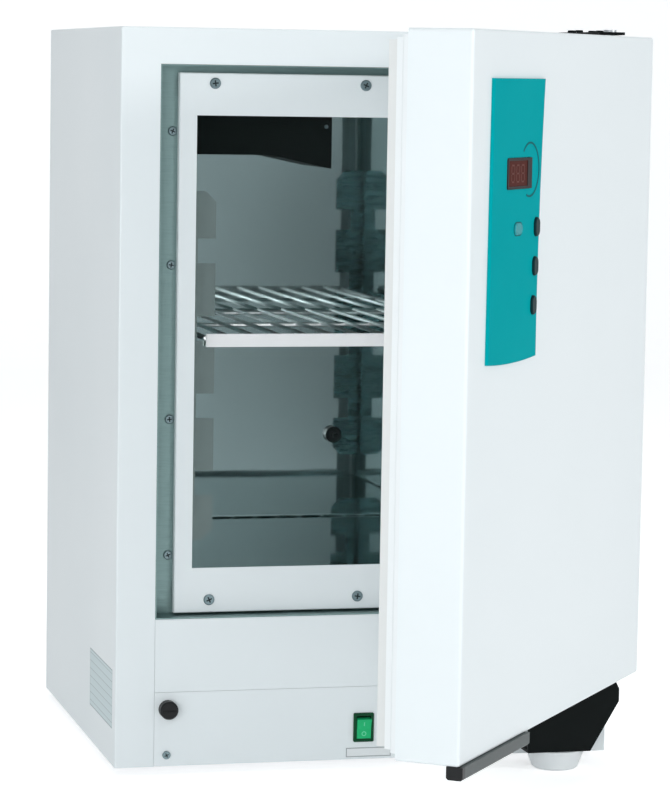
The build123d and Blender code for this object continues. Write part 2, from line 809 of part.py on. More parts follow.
# Insulation packed between chamber and cabinet, above the electrical compartment
def make_chamber_insulation():
    g = insulation_gap
    t = liner_sheet
    y0 = front + stile_lip_depth + 5 * g
    z0 = recess_bottom + 4 * g
    wool = block(-shell_inside + g, shell_inside - g, y0, back_inner - shell_sheet - 4 * g,
                 z0, top - shell_sheet - 4 * g)
    wool -= block(-opening_half - shell_sheet - g, opening_half + shell_sheet + g, y0 - 1,
                  chamber_front + 5 * g, z0 - 1, recess_top + shell_sheet + g)
    wool -= block(-chamber_half - t, chamber_half + t, y0 - 1, chamber_back + t, chamber_floor - t,
                  chamber_ceiling + t)
    wool -= block(-heater_half_x, heater_half_x, chamber_middle - heater_half_y,
                  chamber_middle + heater_half_y, heater_bottom, chamber_floor)
    half_x = heater_terminal_width / 2 + 2 * g
    half_y = heater_terminal_depth / 2 + 2 * g
    wool -= block(heater_terminal_x - half_x, heater_terminal_x + half_x, chamber_middle - half_y,
                  chamber_middle + half_y, heater_bottom - heater_terminal_height - 2 * g, chamber_floor)
    wool -= rod_y(motor_diameter + 2 * g, fan_axis_x, chamber_back, chamber_back + t + motor_length + g,
                  fan_axis_z)
    wool -= rod_y(sensor_stem_diameter + 2 * g, sensor_x, chamber_back, chamber_back + sensor_stem_length + g,
                  sensor_z)
    return wool


# Rocker switch: a snap-in body with a rim, and a rocker on a cross pin
def make_switch_body():
    x = switch_width / 2
    z = switch_tall / 2
    rim = block(switch_x - x, switch_x + x, front - switch_rim, front, switch_z - z, switch_z + z)
    rim = chamfer(rim.edges().filter_by(Axis.Y), switch_edge)
    rim = chamfer(rim.faces().sort_by(Axis.Y)[0].edges(), switch_edge)
    body = block(switch_x - switch_cut_x, switch_x + switch_cut_x, front - 1, front + switch_body_depth,
                 switch_z - switch_cut_z, switch_z + switch_cut_z)
    well_x = switch_cut_x - switch_wall
    well_z = switch_cut_z - switch_wall
    well = block(switch_x - well_x, switch_x + well_x, front - switch_rim - 1,
                 front + switch_body_depth - 4 * switch_wall, switch_z - well_z, switch_z + well_z)
    pin = rod_x(rocker_pin_diameter, switch_x - well_x, switch_x + well_x, front + rocker_pivot_depth,
                switch_z)
    return rim + body - well + pin


def make_switch_rocker():
    half_x = switch_cut_x - switch_wall - rocker_gap
    half_z = switch_cut_z - switch_wall - rocker_gap - rocker_swing_gap
    face = rocker_pivot_depth + switch_rim + rocker_gap
    rise = half_z * math.tan(math.radians(rocker_tilt))
    hub = rocker_pin_diameter / 2 + 2
    skirt = -rocker_pin_diameter / 2
    outline = [(-face - rise, -half_z), (-face, 0), (-face - rise, half_z), (skirt, half_z),
               (hub, hub), (hub, -hub), (skirt, -half_z)]
    rocker = extrude(Plane.YZ * polygon(outline), half_x, both=True)
    rocker -= rod_x(rocker_pin_diameter + 2 * running_clearance, -half_x - 1, half_x + 1, 0, 0)
    return Pos(switch_x, front + rocker_pivot_depth, switch_z) * Rot(rocker_tilt, 0, 0) * rocker


# Fuse holder: a threaded body through the panel, and a cap that holds the fuse
def make_fuse_holder():
    ring_front = front - fuse_ring_sheet
    ring = rod_y(fuse_cap_diameter - 2, fuse_x, ring_front, front, fuse_z)
    body = rod_y(fuse_body_diameter, fuse_x, ring_front, front + fuse_body_length, fuse_z)
    nut = Rot(90, 0, 0) * extrude(RegularPolygon(fuse_nut_diameter / 2, 6), fuse_nut_height)
    nut = Pos(fuse_x, front + shell_sheet + fuse_nut_height, fuse_z) * nut
    bore = rod_y(fuse_body_diameter - 2 * fuse_body_wall, fuse_x, ring_front - 1,
                 front + fuse_body_length - fuse_body_wall, fuse_z)
    return ring + body + nut - bore


def make_fuse_cap():
    cap = Cylinder(fuse_cap_diameter / 2, fuse_cap_length, align=STAND)
    cap = chamfer(cap.edges().group_by(Axis.Z)[-1], fuse_cap_edge)
    flute = Cylinder(fuse_flute_diameter / 2, fuse_cap_length - 2 * fuse_cap_edge - 1, align=STAND)
    for index in range(fuse_cap_flutes):
        turn = Rot(0, 0, index * 360 / fuse_cap_flutes)
        cap -= turn * Pos(fuse_cap_diameter / 2 + 0.2, 0, fuse_cap_edge) * flute
    cap -= Pos(0, 0, fuse_cap_length) * Box(fuse_cap_diameter - 8, fuse_cap_slot, 1.5 * fuse_cap_slot)
    stem_radius = fuse_body_diameter / 2 - fuse_body_wall - running_clearance
    stem = Cylinder(stem_radius, fuse_stem_length, align=HANG)
    stem -= Pos(0, 0, -fuse_stem_length) * Cylinder(fuse_tube_diameter / 2 + running_clearance,
                                                    fuse_stem_length + 2)
    return Pos(fuse_x, front - fuse_ring_sheet - seat_gap, fuse_z) * Rot(90, 0, 0) * (cap + stem)


def make_glass_fuse():
    y0 = front - fuse_ring_sheet + fuse_stem_length / 2 - 1
    return rod_y(fuse_tube_diameter, fuse_x, y0, y0 + fuse_tube_length, fuse_z)


# Outer door
def make_outer_door_shell():
    x = half_width
    t = door_sheet
    body = block(-x, x, door_outer, door_inner, door_bottom, door_top)
    sharp = body.faces().sort_by(Axis.Y)[0].edges() + body.edges().filter_by(Axis.Y)
    body = fillet(sharp, door_bend_radius)
    body -= block(-x + t, x - t, door_outer + t, door_inner + 1, door_bottom + t, door_top - t)
    body += ring_y(-x + t, x - t, door_bottom + t, door_top - t, door_return, door_inner - t, door_inner)
    for z in (door_bottom + t / 2, door_top - t / 2):
        body -= rod_z(hinge_bush_diameter + 2 * hole_clearance, pivot_x, pivot_y, z - t, z + t)
    half_x = display_width / 2 - display_lip
    half_z = display_tall / 2 - display_lip
    body -= block(display_x - half_x, display_x + half_x, door_outer - 1, door_outer + t + 1,
                  display_z - half_z, display_z + half_z)
    body -= lamp_outline(-lamp_lip, door_outer - 1, door_outer + t + 1)
    for place in button_places():
        body -= button_outline(place, button_gap, door_outer - 1, door_outer + t + 1)
    return body


def make_door_inner_panel():
    x = half_width - door_step_inset
    pan = block(-x, x, door_inner, retainer_front, door_bottom + door_step_inset, door_top - door_step_inset)
    return fillet(pan.faces().sort_by(Axis.Y)[-1].edges(), shell_bend_radius)


def make_gasket_retainer():
    return ring_y(-half_width + retainer_inset, half_width - retainer_hinge_edge,
                  door_bottom + retainer_inset, door_top - retainer_inset, retainer_width,
                  retainer_front, gasket_front)


def make_door_gasket():
    return ring_y(-half_width + gasket_inset, half_width - gasket_hinge_edge, door_bottom + gasket_inset,
                  door_top - gasket_inset, gasket_width, gasket_front, front - gasket_gap)


def make_door_insulation():
    t = door_sheet + insulation_gap
    wool = block(-half_width + t, half_width - t, door_outer + door_insulation_setback,
                 door_inner - door_sheet - gasket_gap, door_bottom + t, door_top - t)
    reach = hinge_bush_length + 4 * insulation_gap
    for z in (door_bottom, door_top):
        wool -= rod_z(hinge_bush_diameter + 2 * hinge_flange, pivot_x, pivot_y, z - reach, z + reach)
    return wool


def make_hinge_bush(lower):
    flange_z = door_bottom - hinge_flange_sheet if lower else door_top
    z0 = flange_z if lower else door_top - hinge_bush_length
    z1 = door_bottom + hinge_bush_length if lower else door_top + hinge_flange_sheet
    bush = rod_z(hinge_bush_diameter, pivot_x, pivot_y, z0, z1)
    bush += rod_z(hinge_bush_diameter + 2 * hinge_flange, pivot_x, pivot_y, flange_z,
                  flange_z + hinge_flange_sheet)
    bush -= rod_z(hinge_pin_diameter + 2 * running_clearance, pivot_x, pivot_y, z0 - 1, z1 + 1)
    return bush


def make_grip_bar():
    """The whole bar under the door, before its end plug is cut from it."""
    x0 = -half_width + grip_end_inset
    y0 = door_outer - grip_proud
    z0 = door_bottom - grip_height
    bar = block(x0, x0 + grip_length, y0, y0 + grip_depth, z0, door_bottom)
    bar = chamfer(bar.edges().filter_by(Axis.X).group_by(Axis.Z)[0], grip_edge)
    return bar - block(x0 + grip_groove_inset, x0 + grip_length - grip_groove_inset,
                       y0 + grip_depth - grip_groove_depth, y0 + grip_depth + 1,
                       z0 - 1, z0 + grip_groove_depth)


def grip_cap_space():
    x0 = -half_width + grip_end_inset
    return block(x0 - 1, x0 + grip_cap_length, door_outer - door_depth, door_inner, bottom, door_bottom)


# Control strip and what is set in it
def make_control_strip():
    low_left = (strip_x0, strip_z0)
    low_right = (strip_x0 + strip_panel_bottom_width, strip_z0)
    waist = (low_right[0] + strip_panel_waist, strip_z0 + strip_panel_waist_rise)
    high_left = (strip_x0 + strip_panel_lean, strip_z1)
    high_right = (high_left[0] + strip_panel_top_width, strip_z1)
    bow = (strip_x0 + strip_panel_bottom_width / 2, strip_z0 - strip_panel_bow)
    edge = ThreePointArc(low_left, bow, low_right) + ThreePointArc(low_right, waist, high_right)
    edge += Polyline(high_right, high_left, low_left)
    strip = plate_y(make_face(edge), strip_face, door_outer)
    left_edge = strip.faces().sort_by(Axis.Y)[0].edges().sort_by(Axis.X)[0]
    strip = fillet(left_edge, strip_panel_roll)
    strip -= display_outline(display_gap, strip_face - 1, door_outer + 1)
    strip -= lamp_outline(hole_clearance, strip_face - 1, door_outer + 1)
    for place in button_places():
        strip -= button_outline(place, button_gap, strip_face - 1, door_outer + 1)
    return strip


def button_places():
    """Middles of the three buttons, which lean with the edge of the strip."""
    return [(strip_x0 + first_button_inset - index * button_lean,
             strip_z1 - first_button_drop - index * button_pitch) for index in range(3)]


def button_outline(place, gap, y0, y1):
    slot = SlotOverall(button_tall + 2 * gap, button_width + 2 * gap, rotation=90)
    return plate_y(Pos(*place) * slot, y0, y1)


def lamp_outline(gap, y0, y1):
    return plate_y(Pos(display_x, lamp_z) * SlotOverall(lamp_width + 2 * gap, lamp_tall + 2 * gap), y0, y1)


def display_outline(gap, y0, y1):
    outline = RectangleRounded(display_width + 2 * gap, display_tall + 2 * gap, display_corner)
    return plate_y(Pos(display_x, display_z) * outline, y0, y1)


def make_display_window():
    return display_outline(0, strip_face - display_proud, door_outer)


def make_indicator_lens():
    lens = lamp_outline(0, strip_face - lamp_proud, door_outer)
    return chamfer(lens.faces().sort_by(Axis.Y)[0].edges(), lamp_edge)


def make_button(place):
    cap = button_outline(place, 0, strip_face - button_proud, door_outer)
    cap = chamfer(cap.faces().sort_by(Axis.Y)[0].edges(), button_edge)
    x, z = place
    return cap + rod_y(button_stem_diameter, x, door_outer - 1, board_front - button_travel - seat_gap, z)


def make_display_board():
    x0 = strip_x0 + board_inset
    x1 = strip_x0 + strip_panel_bottom_width
    z0 = strip_z0 + 2 * board_inset
    z1 = strip_z1 - board_inset
    board = block(x0, x1, board_front, board_front + board_sheet, z0, z1)
    for x in (x0 + board_post_inset, x1 - board_post_inset):
        for z in (z0 + board_post_inset, z1 - board_post_inset):
            board += rod_y(button_stem_diameter, x, door_outer + door_sheet, board_front, z)
    half_x = display_width / 2 - display_lip - 1
    half_z = display_tall / 2 - display_lip - 1
    board += block(display_x - half_x, display_x + half_x, door_outer + door_sheet + gasket_gap, board_front,
                   display_z - half_z, display_z + half_z)
    chip_z = strip_z0 + strip_panel_height / 3
    board += block(display_x - half_x, display_x + half_z, board_front + board_sheet,
                   board_front + board_sheet + board_chip, chip_z, chip_z + 2 * half_z)
    return board


# Inner door
def make_inner_door_frame():
    y0 = inner_face
    t = inner_door_sheet
    y1 = y0 + inner_door_dish
    body = block(inner_left, inner_right, y0, y1, inner_bottom, inner_top)
    body = chamfer(body.faces().sort_by(Axis.Y)[0].edges(), inner_door_edge)
    body -= block(inner_left + t, inner_right - t, y0 + t, y1 + 1, inner_bottom + t, inner_top - t)
    body -= block(window_left, window_right, y0 - 1, y0 + t + 1, window_bottom, window_top)
    for x, z in inner_screw_places():
        body -= rod_y(screw_hole, x, y0 - 1, y0 + t + 1, z)
    return body


def make_inner_door_glass():
    y0 = inner_face + inner_door_sheet
    return block(window_left - glass_overlap, window_right + glass_overlap, y0, y0 + glass_thickness,
                 window_bottom - glass_overlap, window_top + glass_overlap)


def make_glass_clamps():
    y0 = inner_face + inner_door_sheet + glass_thickness
    edge = inner_door_sheet + clamp_gap
    spans = ((inner_bottom + edge, window_bottom - clamp_gap), (window_top + clamp_gap, inner_top - edge))
    clamps = [block(inner_left + edge, inner_right - edge, y0, y0 + clamp_sheet, z0, z1) for z0, z1 in spans]
    for x, z in inner_screw_places():
        hole = rod_y(screw_hole, x, y0 - 1, y0 + clamp_sheet + 1, z)
        clamps = [clamp - hole for clamp in clamps]
    return group(clamps)


def make_inner_door_seal():
    y0 = inner_face + inner_door_dish
    y1 = flange_front - seat_gap
    left = inner_left + inner_seal_inset
    right = inner_right + inner_seal_overhang
    return ring_y(left, right, inner_bottom + inner_seal_bottom_inset, inner_top - inner_seal_top_inset,
                  inner_seal_width, y0, y1)


def make_inner_hinges(moving):
    """Knuckle hinges: the outer knuckles stand on the recess wall, the middle one on the door."""
    knuckles = []
    half = inner_hinge_length / 2
    third = inner_hinge_length / 3
    half_leaf = inner_hinge_leaf / 2
    for middle in (inner_bottom + inner_hinge_inset, inner_top - inner_hinge_inset):
        if moving:
            spans = [(middle - third / 2 + seat_gap, middle + third / 2 - seat_gap)]
            leaf_x = (inner_right, inner_pivot_x)
        else:
            spans = [(middle - half, middle - third / 2), (middle + third / 2, middle + half)]
            leaf_x = (inner_pivot_x, recess_half)
        piece = Part()
        for z0, z1 in spans:
            piece += rod_z(inner_hinge_diameter, inner_pivot_x, inner_pivot_y, z0, z1)
            piece += block(leaf_x[0], leaf_x[1], inner_pivot_y - half_leaf, inner_pivot_y + half_leaf, z0, z1)
        if moving:
            piece -= rod_z(inner_hinge_pin_diameter + 2 * running_clearance, inner_pivot_x, inner_pivot_y,
                           middle - half, middle + half)
        else:
            piece += block(recess_half - inner_hinge_leaf, recess_half,
                           inner_pivot_y - inner_hinge_foot_front, inner_pivot_y + inner_hinge_foot_back,
                           middle - half, middle + half)
            piece += rod_z(inner_hinge_pin_diameter, inner_pivot_x, inner_pivot_y, middle - third,
                           middle + third)
        knuckles.append(piece)
    return group(knuckles)


def make_inner_door_magnets():
    y0 = inner_face + inner_door_sheet + glass_thickness + clamp_sheet
    y1 = flange_front - seat_gap
    x0 = inner_left + magnet_inset
    half = magnet_tall / 2
    heights = (inner_bottom + inner_screw_bottom_inset, inner_top - inner_screw_bottom_inset)
    return group([block(x0, x0 + magnet_width, y0, y1, z - half, z + half) for z in heights])


# Hinge brackets and pins of the outer door
def make_upper_hinge_bracket():
    z1 = top + bracket_sheet
    y0 = pivot_y - upper_bracket_nose
    y1 = front + upper_bracket_reach
    nose = upper_bracket_nose
    wide = upper_bracket_half_width
    outline = [(pivot_x - wide, y1), (pivot_x - nose, y0), (pivot_x + nose, y0), (pivot_x + wide, y1)]
    plate = Pos(0, 0, top) * extrude(polygon(outline), bracket_sheet)
    plate = fillet(plate.edges().filter_by(Axis.Z), upper_bracket_corner)
    plate -= rod_z(hinge_pin_diameter + 2 * hole_clearance, pivot_x, pivot_y, top - 1, z1 + 1)
    for x, y in upper_bracket_screws():
        plate -= rod_z(screw_hole, x, y, top - 1, z1 + 1)
    return plate


def make_upper_hinge_pin():
    seat = top + bracket_sheet
    pin = rod_z(hinge_pin_diameter, pivot_x, pivot_y, door_top - hinge_bush_length + 2, seat)
    return pin + rod_z(hinge_pin_diameter + 4, pivot_x, pivot_y, seat, seat + hinge_pin_head)


def make_lower_hinge_bracket():
    """A folded black bracket under the door that also stands on the right front foot."""
    t = bracket_sheet
    y0 = front - bracket_front
    z0 = bracket_bottom
    z1 = bracket_top
    slant_x = bracket_right - bracket_slant_width
    corner = bracket_corner
    outline = [(bracket_left, z0), (slant_x, z0), (bracket_right, z0 + bracket_slant_height),
               (bracket_right, z1 - corner), (bracket_right - corner / 3, z1 - corner / 3),
               (bracket_right - corner, z1), (bracket_left, z1)]
    face = plate_y(polygon(outline), y0, y0 + t)
    rear = plate_y(polygon(outline), front - t, front)
    rear -= block(bracket_left - 1, bracket_right + 1, front - t - 1, front + 1, z0 - 1,
                  z0 + bracket_screw_relief)
    shelf = block(bracket_left, bracket_right - corner, y0, front, z1 - t, z1)
    sole = block(bracket_left, slant_x, y0, front - bracket_sole_gap, z0, z0 + t)
    web_x = half_width - bracket_web_inset
    web = block(web_x - t / 2, web_x + t / 2, y0, front, z0, z1)
    bracket = face + shelf + sole + rear + web
    bracket -= rod_z(hinge_pin_diameter + 2 * hole_clearance, pivot_x, pivot_y, z1 - t - 1, z1 + 1)
    for x, z in lower_bracket_screws():
        bracket -= rod_y(screw_hole, x, front - t - 1, front + 1, z)
    return bracket


def make_lower_hinge_pin():
    seat = bracket_top - bracket_sheet
    pin = rod_z(hinge_pin_diameter, pivot_x, pivot_y, seat, door_bottom + hinge_bush_length - 2)
    return pin + rod_z(hinge_pin_diameter + 4, pivot_x, pivot_y, seat - hinge_pin_head, seat)


def make_front_right_foot():
    foot = Cone(white_foot_bottom_diameter / 2, white_foot_top_diameter / 2, bracket_bottom, align=STAND)
    foot = chamfer(foot.edges().group_by(Axis.Z)[0], foot_edge)
    return Pos(white_foot_x, white_foot_y, 0) * foot


def make_feet():
    feet = []
    for x, y in foot_places():
        foot = Cone(foot_diameter / 2 - foot_taper, foot_diameter / 2, bottom - hole_clearance, align=STAND)
        foot = Pos(x, y, 0) * foot
        feet.append(foot + rod_z(foot_stud_diameter, x, y, bottom - 1, bottom + foot_stud_rise))
    return group(feet)


def make_mains_inlet():
    x = inlet_width / 2
    z = inlet_tall / 2
    inlet = block(inlet_x - x, inlet_x + x, back, back + inlet_flange_sheet, inlet_z - z, inlet_z + z)
    inlet = fillet(inlet.edges().filter_by(Axis.Y), inlet_corner)
    body_x = x - inlet_ear
    body_z = z - hinge_flange_sheet
    inlet += block(inlet_x - body_x, inlet_x + body_x, back - inlet_body_depth, back,
                   inlet_z - body_z, inlet_z + body_z)
    well_x = inlet_well_width / 2
    well_z = inlet_well_tall / 2
    well = block(inlet_x - well_x, inlet_x + well_x, back - inlet_well_depth, back + inlet_flange_sheet + 1,
                 inlet_z - well_z, inlet_z + well_z)
    inlet -= chamfer(well.edges().filter_by(Axis.Y).group_by(Axis.Z)[-1], inlet_well_chamfer)
    half_wide = inlet_pin_width / 2
    half_tall = inlet_pin_tall / 2
    for column in (-1, 0, 1):
        pin_x = inlet_x + column * inlet_pin_pitch
        pin_z = inlet_z - inlet_pin_drop if column else inlet_z + inlet_pin_drop
        inlet += block(pin_x - half_wide, pin_x + half_wide, back - inlet_well_depth - 1, back - 2,
                       pin_z - half_tall, pin_z + half_tall)
    return inlet


def make_power_board():
    floor = bottom + shell_sheet
    z0 = floor + power_board_post
    z1 = z0 + board_sheet
    x0 = power_board_x - power_board_width / 2
    x1 = power_board_x + power_board_width / 2
    y1 = back - power_board_setback
    y0 = y1 - power_board_depth
    inset = power_board_post_inset
    board = block(x0, x1, y0, y1, z0, z1)
    for x in (x0 + inset, x1 - inset):
        for y in (y0 + inset, y1 - inset):
            board += rod_z(power_board_post_diameter, x, y, floor, z1)
    board += block(x0 + 2 * inset, x0 + 2 * inset + transformer_side, y0 + 2 * inset,
                   y0 + 2 * inset + transformer_side, z1 - 1, z1 + transformer_height)
    for index in (1, 2):
        board += rod_z(capacitor_diameter, x1 - index * 1.5 * capacitor_diameter, y0 + 2 * capacitor_diameter,
                       z1 - 1, z1 + capacitor_height)
    board += block(x1 - 2 * inset - relay_width, x1 - 2 * inset, y1 - 2 * inset - relay_depth, y1 - 2 * inset,
                   z1 - 1, z1 + relay_height)
    return board


save("outer_shell", make_outer_shell())
save("base_panel", make_base_panel())
save("control_panel", make_control_panel())
save("front_fascia", make_front_fascia())
save("back_panel", make_back_panel())
save("recess_frame", make_recess_frame())
save("chamber_liner", make_chamber_liner())
save("chamber_insulation", make_chamber_insulation())
strip_rows = (("front", chamber_front + front_strip_inset), ("rear", chamber_back - rear_strip_inset))
for depth_name, strip_y in strip_rows:
    for side_name, side in (("left", -1), ("right", 1)):
        save("shelf_strip_" + depth_name + "_" + side_name, make_shelf_strip(side, strip_y))
save("wire_shelf", make_wire_shelf())
save("shelf_front_band", make_shelf_band())
save("fan_housing", make_fan_housing())
save("fan_impeller", make_fan_impeller())
save("fan_motor", make_fan_motor())
save("temperature_sensor", make_temperature_sensor())
save("heater_mat", make_heater_mat())
save("switch_body", make_switch_body())
save("switch_rocker", make_switch_rocker())
save("fuse_holder", make_fuse_holder())
save("fuse_cap", make_fuse_cap())
save("glass_fuse", make_glass_fuse())
save("power_board", make_power_board())
save("mains_inlet", make_mains_inlet())
save("inner_door_frame", make_inner_door_frame())
save("inner_door_glass", make_inner_door_glass())
save("glass_clamps", make_glass_clamps())
save("inner_door_seal", make_inner_door_seal())
save("inner_door_magnets", make_inner_door_magnets())
save("inner_hinge_knuckles", make_inner_hinges(True))
save("inner_hinge_brackets", make_inner_hinges(False))
save("outer_door_shell", hang_door(make_outer_door_shell()))
save("outer_door_inner_panel", hang_door(make_door_inner_panel()))
save("door_insulation", hang_door(make_door_insulation()))
save("gasket_retainer", hang_door(make_gasket_retainer()))
save("door_gasket", hang_door(make_door_gasket()))
save("door_grip", hang_door(make_grip_bar() - grip_cap_space()))
save("grip_end_cap", hang_door(make_grip_bar() & grip_cap_space()))
save("control_strip", hang_door(make_control_strip()))
save("display_window", hang_door(make_display_window()))
save("indicator_lens", hang_door(make_indicator_lens()))
save("display_board", hang_door(make_display_board()))
for button_name, button_place in zip(("button_set", "button_up", "button_down"), button_places()):
    save(button_name, hang_door(make_button(button_place)))
save("upper_hinge_bush", hang_door(make_hinge_bush(False)))
save("lower_hinge_bush", hang_door(make_hinge_bush(True)))
save("upper_hinge_bracket", make_upper_hinge_bracket())
save("lower_hinge_bracket", make_lower_hinge_bracket())
save("upper_hinge_pin", make_upper_hinge_pin())
save("lower_hinge_pin", make_lower_hinge_pin())
save("front_right_foot", make_front_right_foot())
save("levelling_feet", make_feet())

panel_screws = front_screws(panel_screw_places(), front, screw_head_diameter, panel_screw)
recess_screws = front_screws(flange_screw_places(), flange_front, recess_screw_head_diameter, short_screw)
inner_screws = front_screws(inner_screw_places(), inner_face, inner_screw_head_diameter, long_screw)
bracket_screws = front_screws(lower_bracket_screws(), front - bracket_sheet, screw_head_diameter, panel_screw)
bracket_screws += [Pos(x, y, top + bracket_sheet) * screw(screw_head_diameter, short_screw)
                   for x, y in upper_bracket_screws()]
back_screws = [Pos(x, back, z) * Rot(-90, 0, 0) * screw(screw_head_diameter, short_screw)
               for x, z in back_screw_places()]
save("control_panel_screws", group(panel_screws))
save("recess_frame_screws", group(recess_screws))
save("inner_door_screws", group(inner_screws))
save("hinge_bracket_screws", group(bracket_screws))
save("back_panel_screws", group(back_screws))
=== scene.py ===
# %% [markdown]
# # A laboratory incubator, dressed in Blender
#
# The cabinet, its doors and every fitting come in from the CAD model at their real size, in metres.
# Nothing here moves or reshapes them. What this lesson adds is the part that CAD leaves out: how
# powder-coated steel, polished steel, glass, rubber and moulded plastic look, the small pressed and
# printed details, and the light and camera that show them.

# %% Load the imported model
import math

import bmesh
import bpy
from mathutils import Matrix, Vector


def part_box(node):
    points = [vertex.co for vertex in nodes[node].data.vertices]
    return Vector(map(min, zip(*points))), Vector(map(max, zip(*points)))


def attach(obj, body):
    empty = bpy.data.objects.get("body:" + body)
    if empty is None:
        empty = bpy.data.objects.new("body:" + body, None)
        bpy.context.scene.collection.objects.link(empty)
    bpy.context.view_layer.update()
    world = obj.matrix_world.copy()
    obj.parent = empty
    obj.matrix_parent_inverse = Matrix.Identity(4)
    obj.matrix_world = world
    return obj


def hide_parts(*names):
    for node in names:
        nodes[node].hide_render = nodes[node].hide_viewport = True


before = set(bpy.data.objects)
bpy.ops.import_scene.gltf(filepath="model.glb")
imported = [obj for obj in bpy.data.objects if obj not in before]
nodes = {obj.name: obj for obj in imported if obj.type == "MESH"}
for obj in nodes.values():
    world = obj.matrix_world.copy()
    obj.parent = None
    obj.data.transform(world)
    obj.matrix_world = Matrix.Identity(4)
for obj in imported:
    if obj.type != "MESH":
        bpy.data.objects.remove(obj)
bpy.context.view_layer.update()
scene = bpy.context.scene
print("pieces from CAD:", len(nodes))

# %% [markdown]
# ## Landmarks
#
# Everything that is added is placed from the cabinet, not from bare numbers: its middle, its front
# and its underside are read from the sheet-steel shell. Heights are given above the underside, and
# sideways places from the middle, as a person would measure them with a tape on the real cabinet.

# %% Landmarks
shell_low, shell_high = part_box("outer_shell")
middle_x = (shell_low.x + shell_high.x) / 2
front_y = shell_low.y
bottom_z = shell_low.z
MM = 0.001
print("cabinet", [round(value, 3) for value in shell_high - shell_low])


# %% [markdown]
# ## A workshop for materials
#
# Every finish below is a node tree around one Principled shader. A few small helpers keep the trees
# short: one starts a material, one adds a noise texture, one spreads a noise over a range of values,
# one mixes two colours and one turns a height into a bump. Texture coordinates are the object's own,
# and since each CAD object sits at the origin, a noise scale of 100 means a pattern that repeats
# about every centimetre.

# %% Material helpers
def start_material(name, color, roughness, metallic=0.0, gloss=0.5):
    material = bpy.data.materials.new(name)
    material.use_nodes = True
    tree = material.node_tree
    shader = tree.nodes["Principled BSDF"]
    shader.inputs["Base Color"].default_value = (*color, 1)
    shader.inputs["Roughness"].default_value = roughness
    shader.inputs["Metallic"].default_value = metallic
    shader.inputs["Specular IOR Level"].default_value = gloss
    return material, tree, shader


def add_noise(tree, scale, detail=3.0, stretch=(1, 1, 1)):
    where = tree.nodes.new("ShaderNodeTexCoord")
    mapping = tree.nodes.new("ShaderNodeMapping")
    mapping.inputs["Scale"].default_value = stretch
    noise = tree.nodes.new("ShaderNodeTexNoise")
    noise.inputs["Scale"].default_value = scale
    noise.inputs["Detail"].default_value = detail
    tree.links.new(where.outputs["Object"], mapping.inputs["Vector"])
    tree.links.new(mapping.outputs["Vector"], noise.inputs["Vector"])
    return noise.outputs["Fac"]


def spread(tree, factor, low, high):
    """Stretch the middle of a noise over the range from low to high."""
    remap = tree.nodes.new("ShaderNodeMapRange")
    remap.inputs["From Min"].default_value = 0.3
    remap.inputs["From Max"].default_value = 0.7
    remap.inputs["To Min"].default_value = low
    remap.inputs["To Max"].default_value = high
    tree.links.new(factor, remap.inputs["Value"])
    return remap.outputs["Result"]


def tint(tree, factor, first, second):
    """Mix two colours, each one either plain numbers or another node's colour."""
    mix = tree.nodes.new("ShaderNodeMix")
    mix.data_type = "RGBA"
    for socket, color in (("A", first), ("B", second)):
        if isinstance(color, tuple):
            mix.inputs[socket].default_value = (*color, 1)
        else:
            tree.links.new(color, mix.inputs[socket])
    tree.links.new(factor, mix.inputs["Factor"])
    return mix.outputs["Result"]


def add_bump(tree, shader, height, distance, strength=0.3):
    bump = tree.nodes.new("ShaderNodeBump")
    bump.inputs["Distance"].default_value = distance
    bump.inputs["Strength"].default_value = strength
    tree.links.new(height, bump.inputs["Height"])
    tree.links.new(bump.outputs["Normal"], shader.inputs["Normal"])


def shade(*names, material):
    """Give CAD pieces a finish in place of the plain one they came with."""
    for name in names:
        piece = nodes[name]
        piece.data.materials.clear()
        piece.data.materials.append(material)


# %% [markdown]
# ## Powder-coated sheet steel
#
# Powder coat is a plastic film baked onto steel. It is satin, not glossy, and under a lamp it shows a
# faint orange peel: soft bumps one to two millimetres across. A noise of that size drives a very
# weak bump, and a slower noise makes the gloss and the white drift a little over a large panel.

# %% Powder coat
def powder_coat(name, color, shadow_color, roughness=0.38, gloss=0.5):
    material, tree, shader = start_material(name, color, roughness, gloss=gloss)
    slow = add_noise(tree, 3.0)
    peel = add_noise(tree, 650.0, 2.0)
    paint = tint(tree, slow, color, shadow_color)
    tree.links.new(paint, shader.inputs["Base Color"])
    tree.links.new(spread(tree, slow, roughness - 0.03, roughness + 0.05), shader.inputs["Roughness"])
    add_bump(tree, shader, peel, 0.0002, 0.12)
    return material, tree, shader, paint


white = (0.80, 0.845, 0.86)
white_shadow = (0.775, 0.825, 0.84)
white_paint = powder_coat("white_powder_coat", white, white_shadow)[0]
shade("control_panel", "front_fascia", "inner_door_frame", "outer_door_shell", material=white_paint)
black_paint = powder_coat("black_powder_coat", (0.005, 0.007, 0.007), (0.009, 0.011, 0.011), 0.45, 0.05)[0]
shade("upper_hinge_bracket", "lower_hinge_bracket", "hinge_bracket_screws", "fan_housing",
      material=black_paint)
bar_paint = powder_coat("dark_bar_paint", (0.055, 0.068, 0.068), (0.075, 0.088, 0.088), 0.45, 0.3)[0]
shade("door_grip", material=bar_paint)


# %% [markdown]
# ## The cabinet shell and its blank data plate
#
# The cabinet carries a stuck-on foil plate low on its left side, a blank silver form with ruled rows.
# A sticker is thinner than the paint is flat, so it is painted by a material: a box in the object's
# own space is turned into a mask that is 1 inside the box and 0 outside, and the mask picks the
# foil's colour over the paint's.

